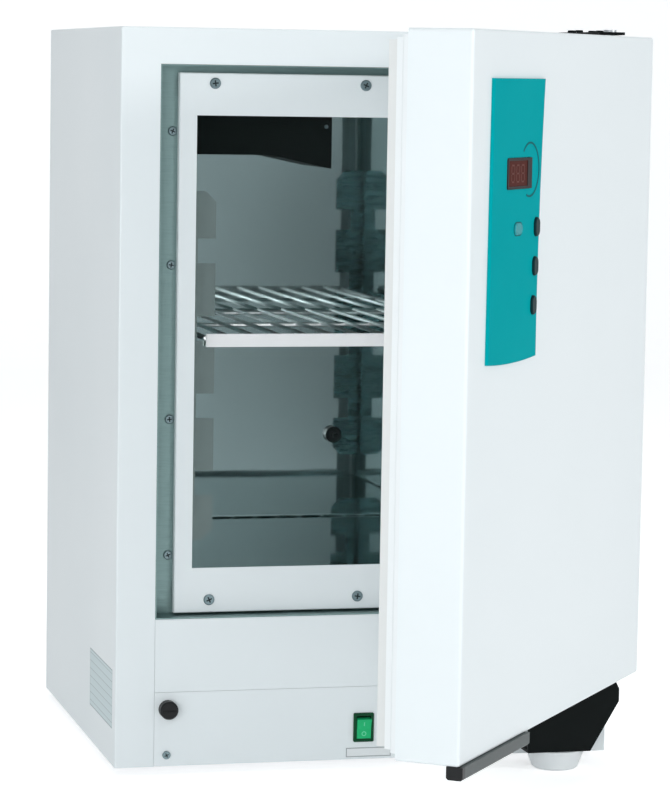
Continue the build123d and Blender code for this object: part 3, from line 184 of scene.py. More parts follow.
# %% Plate mask
def distance_to_box(tree, low, high):
    """How far a point is outside a box, below zero inside it, along the nearest axis."""
    low, high = Vector(low), Vector(high)
    where = tree.nodes.new("ShaderNodeTexCoord").outputs["Object"]
    for operation, value in (("SUBTRACT", (low + high) / 2), ("ABSOLUTE", None),
                             ("SUBTRACT", (high - low) / 2)):
        step = tree.nodes.new("ShaderNodeVectorMath")
        step.operation = operation
        tree.links.new(where, step.inputs[0])
        if value is not None:
            step.inputs[1].default_value = value
        where = step.outputs["Vector"]
    split = tree.nodes.new("ShaderNodeSeparateXYZ")
    tree.links.new(where, split.inputs["Vector"])
    return largest(tree, largest(tree, split.outputs["X"], split.outputs["Y"]), split.outputs["Z"])


def calculate(tree, operation, first, second):
    step = tree.nodes.new("ShaderNodeMath")
    step.operation = operation
    for socket, value in zip(step.inputs, (first, second)):
        if isinstance(value, (int, float)):
            socket.default_value = value
        else:
            tree.links.new(value, socket)
    return step.outputs["Value"]


def largest(tree, first, second):
    return calculate(tree, "MAXIMUM", first, second)


# %% Cabinet shell
plate_low = (shell_low.x - 3 * MM, front_y + 18 * MM, bottom_z + 40 * MM)
plate_high = (shell_low.x + 3 * MM, front_y + 158 * MM, bottom_z + 105 * MM)
plate_edge = 1.4 * MM
row_pitch, rule_width = 9 * MM, 0.8 * MM
shell_paint, tree, shader, paint = powder_coat("cabinet_powder_coat", white, white_shadow)
outside = distance_to_box(tree, plate_low, plate_high)
on_plate = calculate(tree, "LESS_THAN", outside, 0.0)
on_border = calculate(tree, "GREATER_THAN", outside, -plate_edge)
height = tree.nodes.new("ShaderNodeSeparateXYZ")
tree.links.new(tree.nodes.new("ShaderNodeTexCoord").outputs["Object"], height.inputs["Vector"])
row_place = calculate(tree, "MODULO", height.outputs["Z"], row_pitch)
on_rule = calculate(tree, "LESS_THAN", row_place, rule_width)
on_line = largest(tree, on_border, on_rule)
foil = tint(tree, on_line, (0.52, 0.63, 0.65), (0.26, 0.34, 0.36))
tree.links.new(tint(tree, on_plate, paint, foil), shader.inputs["Base Color"])
shade("outer_shell", material=shell_paint)
print("plate", [round(b - a, 3) for a, b in zip(plate_low, plate_high)])


# %% [markdown]
# ## Steel that is polished, plain or plated
#
# The chamber is mirror-polished stainless steel. A real mirror finish on thin sheet is never quite
# flat, so long shallow waves bend its reflections, and fine polishing lines run in one direction.
# The recess frame is the same metal with a duller face, and its darker green-grey colour is painted shade
# of the recess. The back and the base are zinc-plated.
# The shelf strips on the right mirror a darker side of the room in the photograph. That side isn't in the
# studio here, so a darker and duller copy of the left strips' steel stands in for it: that darkness is a
# painted reflection and shade.

# %% Metals
def sheet_metal(name, color, roughness, grain, wave):
    material, tree, shader = start_material(name, color, roughness, 1.0)
    lines = add_noise(tree, 60.0, 4.0, grain)
    cloud = add_noise(tree, 5.0, 2.0)
    tree.links.new(spread(tree, lines, roughness * 0.8, roughness * 1.35), shader.inputs["Roughness"])
    darker = tuple(0.9 * channel for channel in color)
    tree.links.new(tint(tree, cloud, color, darker), shader.inputs["Base Color"])
    add_bump(tree, shader, cloud, wave, 0.25)
    return material


mirror_steel = sheet_metal("mirror_polished_steel", (0.49, 0.61, 0.61), 0.035, (1, 1, 12), 0.001)
shade("chamber_liner", material=mirror_steel)
strip_steel = sheet_metal("shelf_strip_steel", (0.37, 0.445, 0.43), 0.09, (1, 1, 12), 0.001)
shade("shelf_strip_front_left", "shelf_strip_rear_left", material=strip_steel)
# The right pair is the same steel made darker and duller: a painted dark reflection and shade.
strip_steel_painted_dark_reflection = sheet_metal("strip_steel_painted_dark_reflection", (0.09, 0.115, 0.12), 0.25, (1, 1, 12), 0.001)
shade("shelf_strip_front_right", "shelf_strip_rear_right", material=strip_steel_painted_dark_reflection)
# The recess frame's duller face is real; its darker green-grey colour is painted shade.
painted_shade_recess_steel = sheet_metal("dull_recess_steel_painted_shade", (0.24, 0.345, 0.34), 0.42, (1, 1, 10), 0.001)
shade("recess_frame", material=painted_shade_recess_steel)
zinc_steel = sheet_metal("zinc_plated_steel", (0.62, 0.64, 0.66), 0.42, (10, 1, 1), 0.001)
shade("base_panel", "back_panel", "fan_motor", "glass_clamps", "inner_hinge_knuckles",
      "inner_hinge_brackets", "upper_hinge_pin", "lower_hinge_pin", material=zinc_steel)
bright_wire = sheet_metal("bright_wire", (0.96, 0.97, 0.97), 0.36, (1, 8, 1), 0.0003)
screw_steel = sheet_metal("screw_steel", (0.24, 0.32, 0.34), 0.34, (4, 4, 4), 0.0003)
shade("control_panel_screws", "recess_frame_screws", "inner_door_screws", "back_panel_screws",
      material=screw_steel)
bush_brass = sheet_metal("bush_brass", (0.60, 0.45, 0.20), 0.35, (1, 1, 1), 0.0003)
shade("upper_hinge_bush", "lower_hinge_bush", material=bush_brass)
magnet_iron = sheet_metal("magnet_block", (0.08, 0.08, 0.085), 0.5, (1, 1, 1), 0.0003)
shade("inner_door_magnets", material=magnet_iron)

# %% [markdown]
# ## Glass, rubber, wool and moulded plastic
#
# A flat pane neither bends nor colours much of what is behind it, so it is made as a thin film of
# reflection with most of the light let through. The soft and moulded pieces are all dielectric, and
# differ in colour, gloss and the size of their grain.

# %% Glass
pane, pane_tree, pane_shader = start_material("door_pane", (0.10, 0.16, 0.15), 0.03)
pane_shader.inputs["Alpha"].default_value = 0.015
pane_shader.inputs["IOR"].default_value = 1.5
pane_smear = add_noise(pane_tree, 6.0)
pane_tree.links.new(spread(pane_tree, pane_smear, 0.02, 0.06), pane_shader.inputs["Roughness"])
shade("inner_door_glass", "glass_fuse", material=pane)


# %% Plastics
def moulded(name, color, second, roughness, grain=900.0, depth=0.00015, gloss=0.4):
    material, tree, shader = start_material(name, color, roughness, gloss=gloss)
    slow = add_noise(tree, 9.0)
    fine = add_noise(tree, grain, 2.0)
    tree.links.new(tint(tree, slow, color, second), shader.inputs["Base Color"])
    tree.links.new(spread(tree, slow, roughness - 0.03, roughness + 0.04), shader.inputs["Roughness"])
    add_bump(tree, shader, fine, depth, 0.2)
    return material


white_plastic = moulded("white_plastic", (0.80, 0.83, 0.84), (0.77, 0.80, 0.81), 0.45)
shade("outer_door_inner_panel", "gasket_retainer", "front_right_foot", material=white_plastic)
band_enamel = moulded("white_band_enamel", (0.96, 0.96, 0.965), (0.94, 0.94, 0.95), 0.3)
shade("shelf_front_band", material=band_enamel)
black_plastic = moulded("black_plastic", (0.008, 0.009, 0.010), (0.013, 0.014, 0.015), 0.32, gloss=0.2)
shade("fan_impeller", "temperature_sensor", "fuse_holder", "fuse_cap", "mains_inlet", "levelling_feet",
      "grip_end_cap", material=black_plastic)
gasket_rubber = moulded("gasket_rubber", (0.74, 0.75, 0.74), (0.66, 0.675, 0.67), 0.6, 1500.0)
shade("door_gasket", material=gasket_rubber)
inner_rubber = moulded("inner_seal_silicone", (0.70, 0.74, 0.74), (0.64, 0.69, 0.69), 0.5, 1500.0)
shade("inner_door_seal", material=inner_rubber)
heater_rubber = moulded("heater_silicone", (0.36, 0.08, 0.04), (0.30, 0.06, 0.03), 0.6)
shade("heater_mat", material=heater_rubber)
mineral_wool = moulded("mineral_wool", (0.60, 0.55, 0.38), (0.45, 0.40, 0.26), 0.95, 220.0, 0.003)
shade("chamber_insulation", "door_insulation", material=mineral_wool)
circuit_green = moulded("circuit_board", (0.01, 0.12, 0.05), (0.01, 0.09, 0.04), 0.35)
shade("power_board", "display_board", material=circuit_green)
teal_plastic = moulded("teal_plastic", (0.0, 0.355, 0.385), (0.0, 0.325, 0.355), 0.5, gloss=0.01)
shade("control_strip", material=teal_plastic)
lens_plastic = moulded("lamp_lens", (0.01, 0.30, 0.33), (0.01, 0.26, 0.29), 0.2, gloss=0.1)
shade("indicator_lens", material=lens_plastic)
display_plastic = moulded("display_window", (0.090, 0.020, 0.015), (0.072, 0.016, 0.012), 0.25, gloss=0.01)
shade("display_window", material=display_plastic)
button_plastic = moulded("button_plastic", (0.002, 0.020, 0.024), (0.004, 0.028, 0.032), 0.4, gloss=0.08)
shade("button_set", "button_up", "button_down", material=button_plastic)
switch_dark = moulded("switch_frame_green", (0.001, 0.05, 0.018), (0.002, 0.06, 0.022), 0.3, gloss=0.15)
shade("switch_body", material=switch_dark)
switch_bright = moulded("switch_rocker_green", (0.012, 0.43, 0.15), (0.015, 0.48, 0.18), 0.3, gloss=0.2)
shade("switch_rocker", material=switch_bright)
mark_green = moulded("pale_green_mark", (0.12, 0.62, 0.34), (0.14, 0.66, 0.38), 0.3)
slot_shadow = moulded("slot_shadow", (0.03, 0.045, 0.048), (0.04, 0.055, 0.058), 0.5, gloss=0.1)
# A darker teal that paints shade: along the embossed line by the display and round the lamp's hollow.
teal_painted_shade = moulded("teal_painted_shade", (0.0, 0.13, 0.14), (0.0, 0.11, 0.12), 0.5, gloss=0.05)
bezel_black = moulded("display_bezel_black", (0.006, 0.008, 0.009), (0.010, 0.013, 0.014), 0.4, gloss=0.1)
unlit_red = moulded("unlit_segments", (0.125, 0.034, 0.026), (0.115, 0.030, 0.022), 0.3, gloss=0.03)
print("materials:", len(bpy.data.materials))


# %% [markdown]
# ## Adding pieces
#
# A new piece is a mesh that is built in code, linked to the scene, given a finish, and set to ride on the
# CAD body that carries it. Flat outlines pushed into short prisms make most of the small details here:
# figures, labels and marks. The helper below takes an outline in two directions of space, so that one
# function serves the front, the back and the turned door.

# %% Piece helpers
def add_piece(name, build, material, body):
    mesh = bpy.data.meshes.new(name)
    bmesh.ops.recalc_face_normals(build, faces=build.faces)
    build.to_mesh(mesh)
    build.free()
    mesh.materials.append(material)
    piece = bpy.data.objects.new(name, mesh)
    scene.collection.objects.link(piece)
    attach(piece, body)
    print(name, len(mesh.polygons), "faces")
    return piece


def add_prism(build, outline, place, across, up, depth):
    """Push a flat outline, given along across and up, by depth along their common normal."""
    out = across.cross(up)
    rings = []
    for level in (0.0, depth):
        rings.append([build.verts.new(place + across * u + up * v + out * level) for u, v in outline])
    build.faces.new(rings[0])
    build.faces.new(rings[1])
    count = len(outline)
    for index in range(count):
        after = (index + 1) % count
        build.faces.new((rings[0][index], rings[0][after], rings[1][after], rings[1][index]))


def rectangle(width, height):
    return [(-width / 2, -height / 2), (width / 2, -height / 2), (width / 2, height / 2),
            (-width / 2, height / 2)]


def add_frame(build, width, height, border, place, across, up, depth):
    """Four mitred bars round a rectangle."""
    outer = rectangle(width, height)
    inner = rectangle(width - 2 * border, height - 2 * border)
    for index in range(4):
        after = (index + 1) % 4
        bar = [outer[index], outer[after], inner[after], inner[index]]
        add_prism(build, bar, place, across, up, depth)


def add_arc(build, radius, width, start, end, steps, place, across, up, depth):
    """A band along part of a circle, from the start angle to the end angle in degrees."""
    inner, outer = radius - width / 2, radius + width / 2
    for step in range(steps):
        bounds = [math.radians(start + (end - start) * (step + side) / steps) for side in (0, 1)]
        band = [(reach * math.cos(angle), reach * math.sin(angle))
                for reach, angle in ((inner, bounds[0]), (outer, bounds[0]), (outer, bounds[1]),
                                     (inner, bounds[1]))]
        add_prism(build, band, place, across, up, depth)


RIGHT = Vector((1, 0, 0))
BACK = Vector((0, 1, 0))
UP = Vector((0, 0, 1))


# %% [markdown]
# ## Screws with a cross recess
#
# Each group of screws is one CAD node with several plain solids. To find every screw, the node's mesh
# is copied, its doubled points are joined, and the loose parts are walked one by one. They come out
# in no fixed order, so they are sorted by place. Each one is then built again in its own box: a turned
# head with a bevelled rim, a shank, and a cross recess. The flat ring between the rim and the cross
# is filled with triangles, because a mesh face can't have a hole in it.

# %% Find each screw
def loose_boxes(name):
    """The box of each separate solid in a node."""
    copy = bmesh.new()
    copy.from_mesh(nodes[name].data)
    bmesh.ops.remove_doubles(copy, verts=copy.verts, dist=0.005 * MM)
    left = set(copy.verts)
    boxes = []
    while left:
        queue = [left.pop()]
        points = []
        while queue:
            vertex = queue.pop()
            points.append(vertex.co.copy())
            for edge in vertex.link_edges:
                other = edge.other_vert(vertex)
                if other in left:
                    left.remove(other)
                    queue.append(other)
        low = Vector([min(point[axis] for point in points) for axis in range(3)])
        high = Vector([max(point[axis] for point in points) for axis in range(3)])
        boxes.append((low, high))
    copy.free()
    return sorted(boxes, key=lambda box: [round(value, 4) for value in box[0]])


def cross_outline(length, width):
    reach, half = length / 2, width / 2
    return [(-reach, -half), (-half, -half), (-half, -reach), (half, -reach), (half, -half),
            (reach, -half), (reach, half), (half, half), (half, reach), (-half, reach), (-half, half),
            (-reach, half)]


def add_screw(build, face, across, up, radius, length):
    """A cross-recessed screw: its head's face lies at face, and its shank runs back from there."""
    out = across.cross(up)
    sides = 24
    head_depth, recess_depth, bevel_depth = 0.5 * radius, 0.3 * radius, 0.18 * radius
    shank_radius, rim_radius = 0.45 * radius, 0.84 * radius
    cross_length, cross_width = 1.1 * radius, 0.26 * radius
    turns = [2 * math.pi * side / sides for side in range(sides)]
    spokes = [across * math.cos(angle) + up * math.sin(angle) for angle in turns]
    rings = [[build.verts.new(face + spoke * reach - out * depth) for spoke in spokes]
             for reach, depth in ((shank_radius, length), (shank_radius, head_depth), (radius, head_depth),
                                  (radius, bevel_depth), (rim_radius, 0.0))]
    outline = cross_outline(cross_length, cross_width)
    top, floor = [[build.verts.new(face + across * u + up * v - out * depth) for u, v in outline]
                  for depth in (0.0, recess_depth)]
    for before, after in zip(rings, rings[1:]):
        for side in range(sides):
            build.faces.new((before[side - 1], before[side], after[side], after[side - 1]))
    build.faces.new(rings[0])
    dark = [build.faces.new((top[side - 1], top[side], floor[side], floor[side - 1]))
            for side in range(len(outline))]
    dark.append(build.faces.new(floor))
    for wall in dark:
        wall.material_index = 1
    border = [build.edges.get((loop[side - 1], loop[side]))
              for loop in (rings[-1], top) for side in range(len(loop))]
    bmesh.ops.triangle_fill(build, use_beauty=True, edges=border)


def add_screws(name, body, finish):
    """Build a group's screws again, each in its own box, facing front, back or up."""
    first_angle, angle_step = 0.4, 1.3
    behind = front_y + 0.4
    build = bmesh.new()
    for turn, (low, high) in enumerate(loose_boxes(name)):
        size = high - low
        middle = (low + high) / 2
        if abs(size.x - size.y) < abs(size.x - size.z):
            face, across, up, length = Vector((middle.x, middle.y, high.z)), RIGHT, BACK, size.z
        elif middle.y > behind:
            face, across, up, length = Vector((middle.x, high.y, middle.z)), -RIGHT, UP, size.y
        else:
            face, across, up, length = Vector((middle.x, low.y, middle.z)), RIGHT, UP, size.y
        angle = first_angle + angle_step * turn
        turned = across * math.cos(angle) + up * math.sin(angle)
        beside = up * math.cos(angle) - across * math.sin(angle)
        add_screw(build, face, turned, beside, size.x / 2, length)
    piece = add_piece(name.replace("screws", "cross_screws"), build, finish, body)
    piece.data.materials.append(slot_shadow)
    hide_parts(name)


for group, body, finish, slot in (
        ("recess_frame_screws", "cabinet", screw_steel, "screw_steel"),
        ("control_panel_screws", "cabinet", screw_steel, "screw_steel"),
        ("back_panel_screws", "cabinet", screw_steel, "screw_steel"),
        ("hinge_bracket_screws", "cabinet", black_paint, "black_paint"),
        ("inner_door_screws", "inner_door", screw_steel, "screw_steel")):
    add_screws(group, body, finish)

# %% [markdown]
# ## Marks on the rocker, and the blank label under it
#
# A mains rocker is marked with a bar for on and a ring for off. Both are thin raised prisms that ride
# with the rocker, laid on its two slopes. The label under it is a plain white plate with a grey rim.

# %% Rocker marks
rocker_low, rocker_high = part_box("switch_rocker")
switch_low, switch_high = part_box("switch_body")
rest_tilt = math.radians(8)
slope = math.radians(8)
pivot_behind_panel = 5 * MM
ridge_out = 8.55 * MM
mark_reach = 5.6 * MM
mark_height = 0.15 * MM
bar_width, bar_length = 1.1 * MM, 4.6 * MM
circle_radius, circle_width = 2.2 * MM, 1.0 * MM
ridge = Vector(((rocker_low.x + rocker_high.x) / 2,
                front_y + pivot_behind_panel - ridge_out * math.cos(rest_tilt),
                (switch_low.z + switch_high.z) / 2 - ridge_out * math.sin(rest_tilt)))
upper_slope = Vector((0, -math.sin(rest_tilt + slope), math.cos(rest_tilt + slope)))
lower_slope = Vector((0, -math.sin(rest_tilt - slope), math.cos(rest_tilt - slope)))
build = bmesh.new()
add_prism(build, rectangle(bar_width, bar_length), ridge + upper_slope * mark_reach, RIGHT, upper_slope,
          mark_height)
add_arc(build, circle_radius, circle_width, 0, 360, 20, ridge - lower_slope * mark_reach, RIGHT,
        lower_slope, mark_height)
add_piece("rocker_marks", build, mark_green, "power_rocker")

# %% Label under the switch
label_width, label_height, label_rim = 51 * MM, 10.3 * MM, 0.9 * MM
label_thickness, rim_thickness = 0.2 * MM, 0.35 * MM
label_place = Vector((middle_x + 4.5 * MM, front_y, bottom_z + 8.15 * MM))
build = bmesh.new()
add_prism(build, rectangle(label_width, label_height), label_place, RIGHT, UP, label_thickness)
add_piece("switch_label", build, white_plastic, "cabinet")
build = bmesh.new()
add_frame(build, label_width, label_height, label_rim, label_place, RIGHT, UP, rim_thickness)
label_rim_grey = moulded("label_rim_grey", (0.34, 0.37, 0.38), (0.30, 0.33, 0.34), 0.5)
add_piece("switch_label_rim", build, label_rim_grey, "cabinet")

# %% [markdown]
# ## The turned door
#
# The outer door stands open by 53 degrees, so its fittings can't be placed along the room's axes.
# Two directions are made from that angle, one along the door and one straight out of its face, and
# the hinge pin gives the point that both are measured from. Distances along the door are still given
# from the cabinet's middle, as they are when the door is shut.

# %% Places on the outer door
pin_low, pin_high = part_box("upper_hinge_pin")
pin = (pin_low + pin_high) / 2
door_turn = math.radians(53)
door_along = Vector((math.cos(door_turn), math.sin(door_turn), 0))
door_out = Vector((math.sin(door_turn), -math.cos(door_turn), 0))


def reach_out(name):
    """How far a piece of the door stands out from the hinge line."""
    return max((vertex.co - pin).dot(door_out) for vertex in nodes[name].data.vertices)


def on_door(across, height, out):
    """A point on the door, from millimetres across and up, at a distance out in metres."""
    place = pin + door_along * (across * MM - (pin.x - middle_x)) + door_out * out
    place.z = bottom_z + height * MM
    return place


strip_face = reach_out("control_strip")
window_face = reach_out("display_window")
print("strip and window stand out", round(strip_face, 4), round(window_face, 4))

# %% [markdown]
# ## Display, ring and lamp
#
# The red window sits in a black bezel that is wide towards the hinge. Behind it are three figures of seven
# segments, unlit, which show only as a slightly lighter red. An embossed line runs round the bezel's hinge
# end in part of a circle, in a darker teal that paints the shade along it. A darker teal ring of painted
# shade, the shade of the hollow that the lamp sits in, frames the small lamp, and its outline is measured
# from the lamp's own lens.

# %% Bezel and figures
window_width, window_height = 69.0, 30.0
window_x, window_z = -155.3, 660.4
rim_thin, rim_wide = 2.6, 12.5
bezel_height = 0.5 * MM
build = bmesh.new()
for width, height, across, up in (
        (window_width, rim_thin, 0, (window_height - rim_thin) / 2),
        (window_width, rim_thin, 0, (rim_thin - window_height) / 2),
        (rim_thin, window_height - 2 * rim_thin, (rim_thin - window_width) / 2, 0),
        (rim_wide, window_height - 2 * rim_thin, (window_width - rim_wide) / 2, 0)):
    bar_place = on_door(window_x + across, window_z + up, window_face)
    add_prism(build, rectangle(width * MM, height * MM), bar_place, door_along, UP, bezel_height)
add_piece("display_bezel", build, bezel_black, "outer_door")

figure_width, figure_height, figure_pitch, segment = 8.5, 16.0, 14.0, 1.6
segment_depth = 0.08 * MM
figures_x = window_x + (rim_thin - rim_wide) / 2
build = bmesh.new()
for index in (-1, 0, 1):
    for width, height, across, up in (
            (figure_width - segment, segment, 0, figure_height / 2),
            (figure_width - segment, segment, 0, 0),
            (figure_width - segment, segment, 0, -figure_height / 2),
            (segment, figure_height / 2 - segment, -figure_width / 2, figure_height / 4),
            (segment, figure_height / 2 - segment, figure_width / 2, figure_height / 4),
            (segment, figure_height / 2 - segment, -figure_width / 2, -figure_height / 4),
            (segment, figure_height / 2 - segment, figure_width / 2, -figure_height / 4)):
        segment_place = on_door(figures_x + figure_pitch * index + across, window_z + up, window_face)
        add_prism(build, rectangle(width * MM, height * MM), segment_place, door_along, UP, segment_depth)
add_piece("display_figures", build, unlit_red, "outer_door")

# %% Embossed ring and lamp ring
# Both rings take the darker teal as painted shade.
ring_radius, ring_width, ring_height = 26.2 * MM, 2.0 * MM, 0.3 * MM
ring_start, ring_end = 137, -110
ring_place = on_door(-124.4, 663.6, strip_face)
build = bmesh.new()
add_arc(build, ring_radius, ring_width, ring_start, ring_end, 40, ring_place, door_along, UP, ring_height)
add_piece("display_ring_painted_shade", build, teal_painted_shade, "outer_door")


def stadium(length, height, steps=10):
    """An outline with straight sides and two round ends."""
    points = []
    for side, start in ((1, -90), (-1, 90)):
        for step in range(steps + 1):
            angle = math.radians(start + 180 * step / steps)
            points.append((side * (length - height) / 2 + height / 2 * math.cos(angle),
                           height / 2 * math.sin(angle)))
    return points


lens_points = [vertex.co - pin for vertex in nodes["indicator_lens"].data.vertices]
lens_along = [point.dot(door_along) for point in lens_points]
lens_up = [point.z for point in lens_points]
lens_length = max(lens_along) - min(lens_along)
lens_height = max(lens_up) - min(lens_up)
lens_place = pin + door_along * (max(lens_along) + min(lens_along)) / 2 + door_out * strip_face
lens_place.z = pin.z + (max(lens_up) + min(lens_up)) / 2
tuck, show = 0.4 * MM, 2.4 * MM
inner_line = stadium(lens_length - tuck, lens_height - tuck)
outer_line = stadium(lens_length + show, lens_height + show)
build = bmesh.new()
for index in range(len(inner_line)):
    band = [outer_line[index - 1], outer_line[index], inner_line[index], inner_line[index - 1]]
    add_prism(build, band, lens_place, door_along, UP, ring_height)
add_piece("lamp_ring_painted_shade", build, teal_painted_shade, "outer_door")

# %% [markdown]
# ## The wire shelf and the fan housing's screw
#
# The shelf is a bent frame with rods welded over it, 30 millimetres apart. It is made here from round
# bars: a ring of points is carried along each bar's line, and its two ends are drawn in to a small
# flat, as a cropped and tumbled rod has. The frame's line turns its two back corners on an arc. The
# fan housing is held by a small round-headed screw near its outlet end.

# %% Round bars
def add_bar(build, line, radius, sides=14):
    """Sweep a circle along a level line of points, with its ends drawn in."""
    count = len(line)
    end_pull, end_share = 0.35, 0.6
    turns = [2 * math.pi * side / sides for side in range(sides)]
    rings = []
    for index, point in enumerate(line):
        ahead = (line[min(index + 1, count - 1)] - line[max(index - 1, 0)]).normalized()
        beside = ahead.cross(UP).normalized()
        if index in (0, count - 1):
            pull = ahead * (end_pull * radius if index == 0 else -end_pull * radius)
            rings_here = [(point, end_share * radius), (point + pull, radius)]
            if index:
                rings_here.reverse()
        else:
            rings_here = [(point, radius)]
        spokes = [beside * math.cos(angle) + UP * math.sin(angle) for angle in turns]
        for center, reach in rings_here:
            rings.append([build.verts.new(center + spoke * reach) for spoke in spokes])
    for before, after in zip(rings, rings[1:]):
        for side in range(sides):
            build.faces.new((before[side], before[side - 1], after[side - 1], after[side]))
    build.faces.new(rings[0])
    build.faces.new(rings[-1])


# %% Wire shelf
rod_pitch = 30 * MM
rod_radius, frame_radius, cross_radius = 2.25 * MM, 3.0 * MM, 2.5 * MM
corner_radius, corner_steps = 12 * MM, 8
rod_overhang = 2 * MM
shelf_low, shelf_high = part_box("wire_shelf")
half_frame = (shelf_high.x - shelf_low.x) / 2 - frame_radius
frame_z = shelf_low.z + frame_radius
rod_z = shelf_high.z - rod_radius
rear_y = shelf_high.y - frame_radius
frame_line = [Vector((middle_x - half_frame, shelf_low.y, frame_z))]
for side, first in ((-1, 180), (1, 90)):
    for step in range(corner_steps + 1):
        angle = math.radians(first - 90 * step / corner_steps)
        corner_x = middle_x + side * (half_frame - corner_radius)
        frame_line.append(Vector((corner_x + corner_radius * math.cos(angle),
                                  rear_y - corner_radius + corner_radius * math.sin(angle), frame_z)))
frame_line.append(Vector((middle_x + half_frame, shelf_low.y, frame_z)))
build = bmesh.new()
add_bar(build, frame_line, frame_radius)
for share in (0.0, 0.5, 1.0):
    y = shelf_low.y + frame_radius + share * (rear_y - corner_radius - shelf_low.y - frame_radius)
    ends = [Vector((middle_x + side * half_frame, y, frame_z)) for side in (-1, 1)]
    add_bar(build, ends, cross_radius)
rods = range(-int(half_frame / rod_pitch), int(half_frame / rod_pitch) + 1)
for index in rods:
    x = middle_x + index * rod_pitch
    add_bar(build, [Vector((x, shelf_low.y, rod_z)), Vector((x, rear_y + rod_overhang, rod_z))], rod_radius)
shelf = add_piece("wire_shelf_bars", build, bright_wire, "cabinet")
shelf.data.shade_smooth()
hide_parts("wire_shelf")
print("rods", len(rods))

# %% Housing screw
housing_low, housing_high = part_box("fan_housing")
foot_radius, crown_radius, head_height = 2.6 * MM, 2.0 * MM, 1.2 * MM
screw_place = Vector((housing_high.x - 7 * MM, housing_low.y - head_height / 2, bottom_z + 690 * MM))
face_front = Matrix.Rotation(math.radians(90), 4, "X")
build = bmesh.new()
bmesh.ops.create_cone(build, cap_ends=True, segments=20, radius1=foot_radius, radius2=crown_radius,
                      depth=head_height, matrix=Matrix.Translation(screw_place) @ face_front)
add_piece("housing_screw", build, screw_steel, "cabinet")

# %% [markdown]
# ## Floor and light
#
# The object stands on a plain white studio floor that sweeps up behind it. The floor keeps the
# object's shadow. Three soft lamps light the scene. A broad one stands at the left front, where the
# door's latch edge looks straight at it and the cabinet's left side only glances at it, which keeps
# that side a little grey and blue. A small one at the right front lights the open door's face and
# reaches the band above the chamber over the door's top. A large weak one hangs above. A catalogue's
# pure white background doesn't come from more light, which would burn out the white paint: the floor
# glows a little, but only for the camera and for mirrors and glass that look at it, through Light
# Path.

# %% Floor
def make_floor():
    reach, wall_y, rise, curve = 40.0, 6.0, 4.0, 1.2
    steps = 12
    mesh = bpy.data.meshes.new("studio_floor")
    build = bmesh.new()
    profile = [(-reach, 0.0), (wall_y - curve, 0.0)]
    for step in range(1, steps + 1):
        angle = math.radians(90 * step / steps)
        profile.append((wall_y - curve + curve * math.sin(angle), curve - curve * math.cos(angle)))
    profile.append((wall_y, rise))
    rows = [[build.verts.new((x, y, z)) for y, z in profile] for x in (-reach, reach)]
    for index in range(len(profile) - 1):
        build.faces.new((rows[0][index], rows[1][index], rows[1][index + 1], rows[0][index + 1]))
    build.to_mesh(mesh)
    build.free()
    floor = bpy.data.objects.new("studio_floor", mesh)
    scene.collection.objects.link(floor)
    return floor


def white_glow(tree, strength):
    """An emission that only the camera, mirrors and clear glass see."""
    path = tree.nodes.new("ShaderNodeLightPath")
    seen = largest(tree, largest(tree, path.outputs["Is Camera Ray"], path.outputs["Is Glossy Ray"]),
                   path.outputs["Is Transmission Ray"])
    glow = tree.nodes.new("ShaderNodeEmission")
    glow.inputs["Color"].default_value = (1, 1, 1, 1)
    tree.links.new(calculate(tree, "MULTIPLY", seen, strength), glow.inputs["Strength"])
    return glow.outputs["Emission"]


floor_paint, floor_tree, floor_shader = start_material("floor_paper", (0.92, 0.92, 0.92), 0.9)
floor_sum = floor_tree.nodes.new("ShaderNodeAddShader")
floor_tree.links.new(floor_shader.outputs["BSDF"], floor_sum.inputs[0])
floor_tree.links.new(white_glow(floor_tree, 0.5), floor_sum.inputs[1])
floor_tree.links.new(floor_sum.outputs["Shader"], floor_tree.nodes["Material Output"].inputs["Surface"])
floor = make_floor()
floor.data.materials.append(floor_paint)


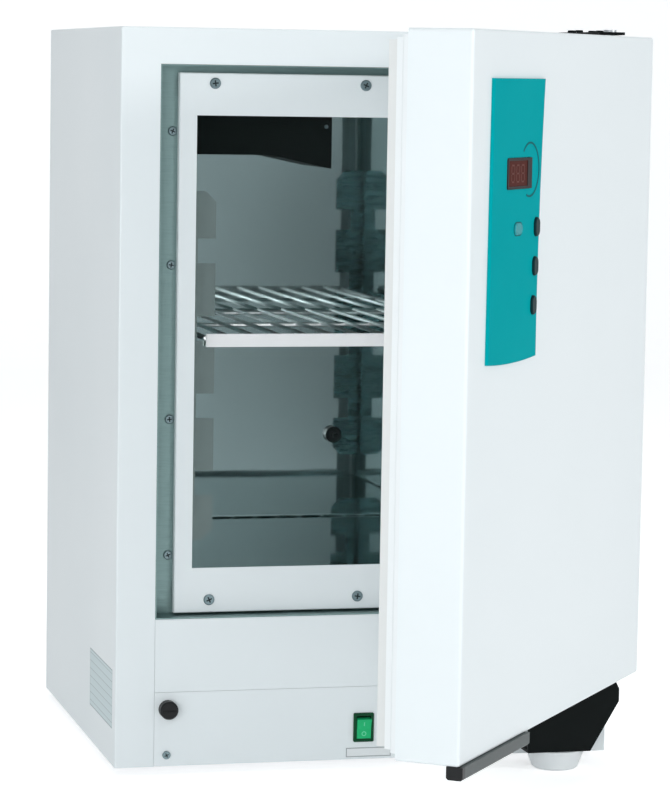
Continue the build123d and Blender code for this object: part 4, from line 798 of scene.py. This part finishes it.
# %% Lamps and world
def add_softbox(name, place, target, size, power, color):
    lamp = bpy.data.lights.new(name, "AREA")
    lamp.shape = "RECTANGLE"
    lamp.size, lamp.size_y = size
    lamp.energy = power
    lamp.color = color
    softbox = bpy.data.objects.new(name, lamp)
    scene.collection.objects.link(softbox)
    softbox.location = place
    softbox.rotation_euler = (target - place).to_track_quat("-Z", "Y").to_euler()


aim_point = Vector((middle_x, front_y + 0.035, bottom_z + 0.41))
for name, offset, size, power, color in (
        ("front_softbox", (-1.5, -2.95, 0.25), (1.8, 1.4), 44.5, (0.97, 0.99, 1.0)),
        ("key_softbox", (2.35, -2.05, 0.9), (0.4, 0.4), 26, (1, 1, 1)),
        ("top_softbox", (0.2, 0.4, 2.8), (3.0, 3.0), 22, (1, 1, 1))):
    add_softbox(name, aim_point + Vector(offset), aim_point, size, power, color)
world = bpy.data.worlds.new("studio_world")
world.use_nodes = True
world.node_tree.nodes["Background"].inputs["Color"].default_value = (0.92, 0.97, 1.0, 1)
world.node_tree.nodes["Background"].inputs["Strength"].default_value = 0.50
scene.world = world
scene.view_settings.view_transform = "Standard"

# %% [markdown]
# ## Camera
#
# The camera was solved from the straight edges in the photograph: its place, the three angles that
# it is turned by, and its lens. A long lens from three and a half metres away gives the flat
# perspective of a catalogue picture.

# %% Camera
camera_place = Vector((middle_x - 0.9017, front_y - 3.40384, bottom_z + 0.75575))
turn_right = math.radians(14.205)
tip_down = math.radians(5.793)
roll = math.radians(0.945)
lens_mm = 145.7
forward = Vector((math.sin(turn_right) * math.cos(tip_down), math.cos(turn_right) * math.cos(tip_down),
                  -math.sin(tip_down)))
level_right = Vector((math.cos(turn_right), -math.sin(turn_right), 0))
level_up = level_right.cross(forward)
camera_right = math.cos(roll) * level_right + math.sin(roll) * level_up
camera_up = -math.sin(roll) * level_right + math.cos(roll) * level_up
camera_data = bpy.data.cameras.new("studio_camera")
camera_data.lens = lens_mm
camera_data.sensor_width = 36
camera = bpy.data.objects.new("studio_camera", camera_data)
scene.collection.objects.link(camera)
turned = Matrix((camera_right, camera_up, -forward)).transposed()
camera.matrix_world = Matrix.Translation(camera_place) @ turned.to_4x4()
scene.camera = camera
print("camera stands", round((camera_place - aim_point).length, 2), "m away")
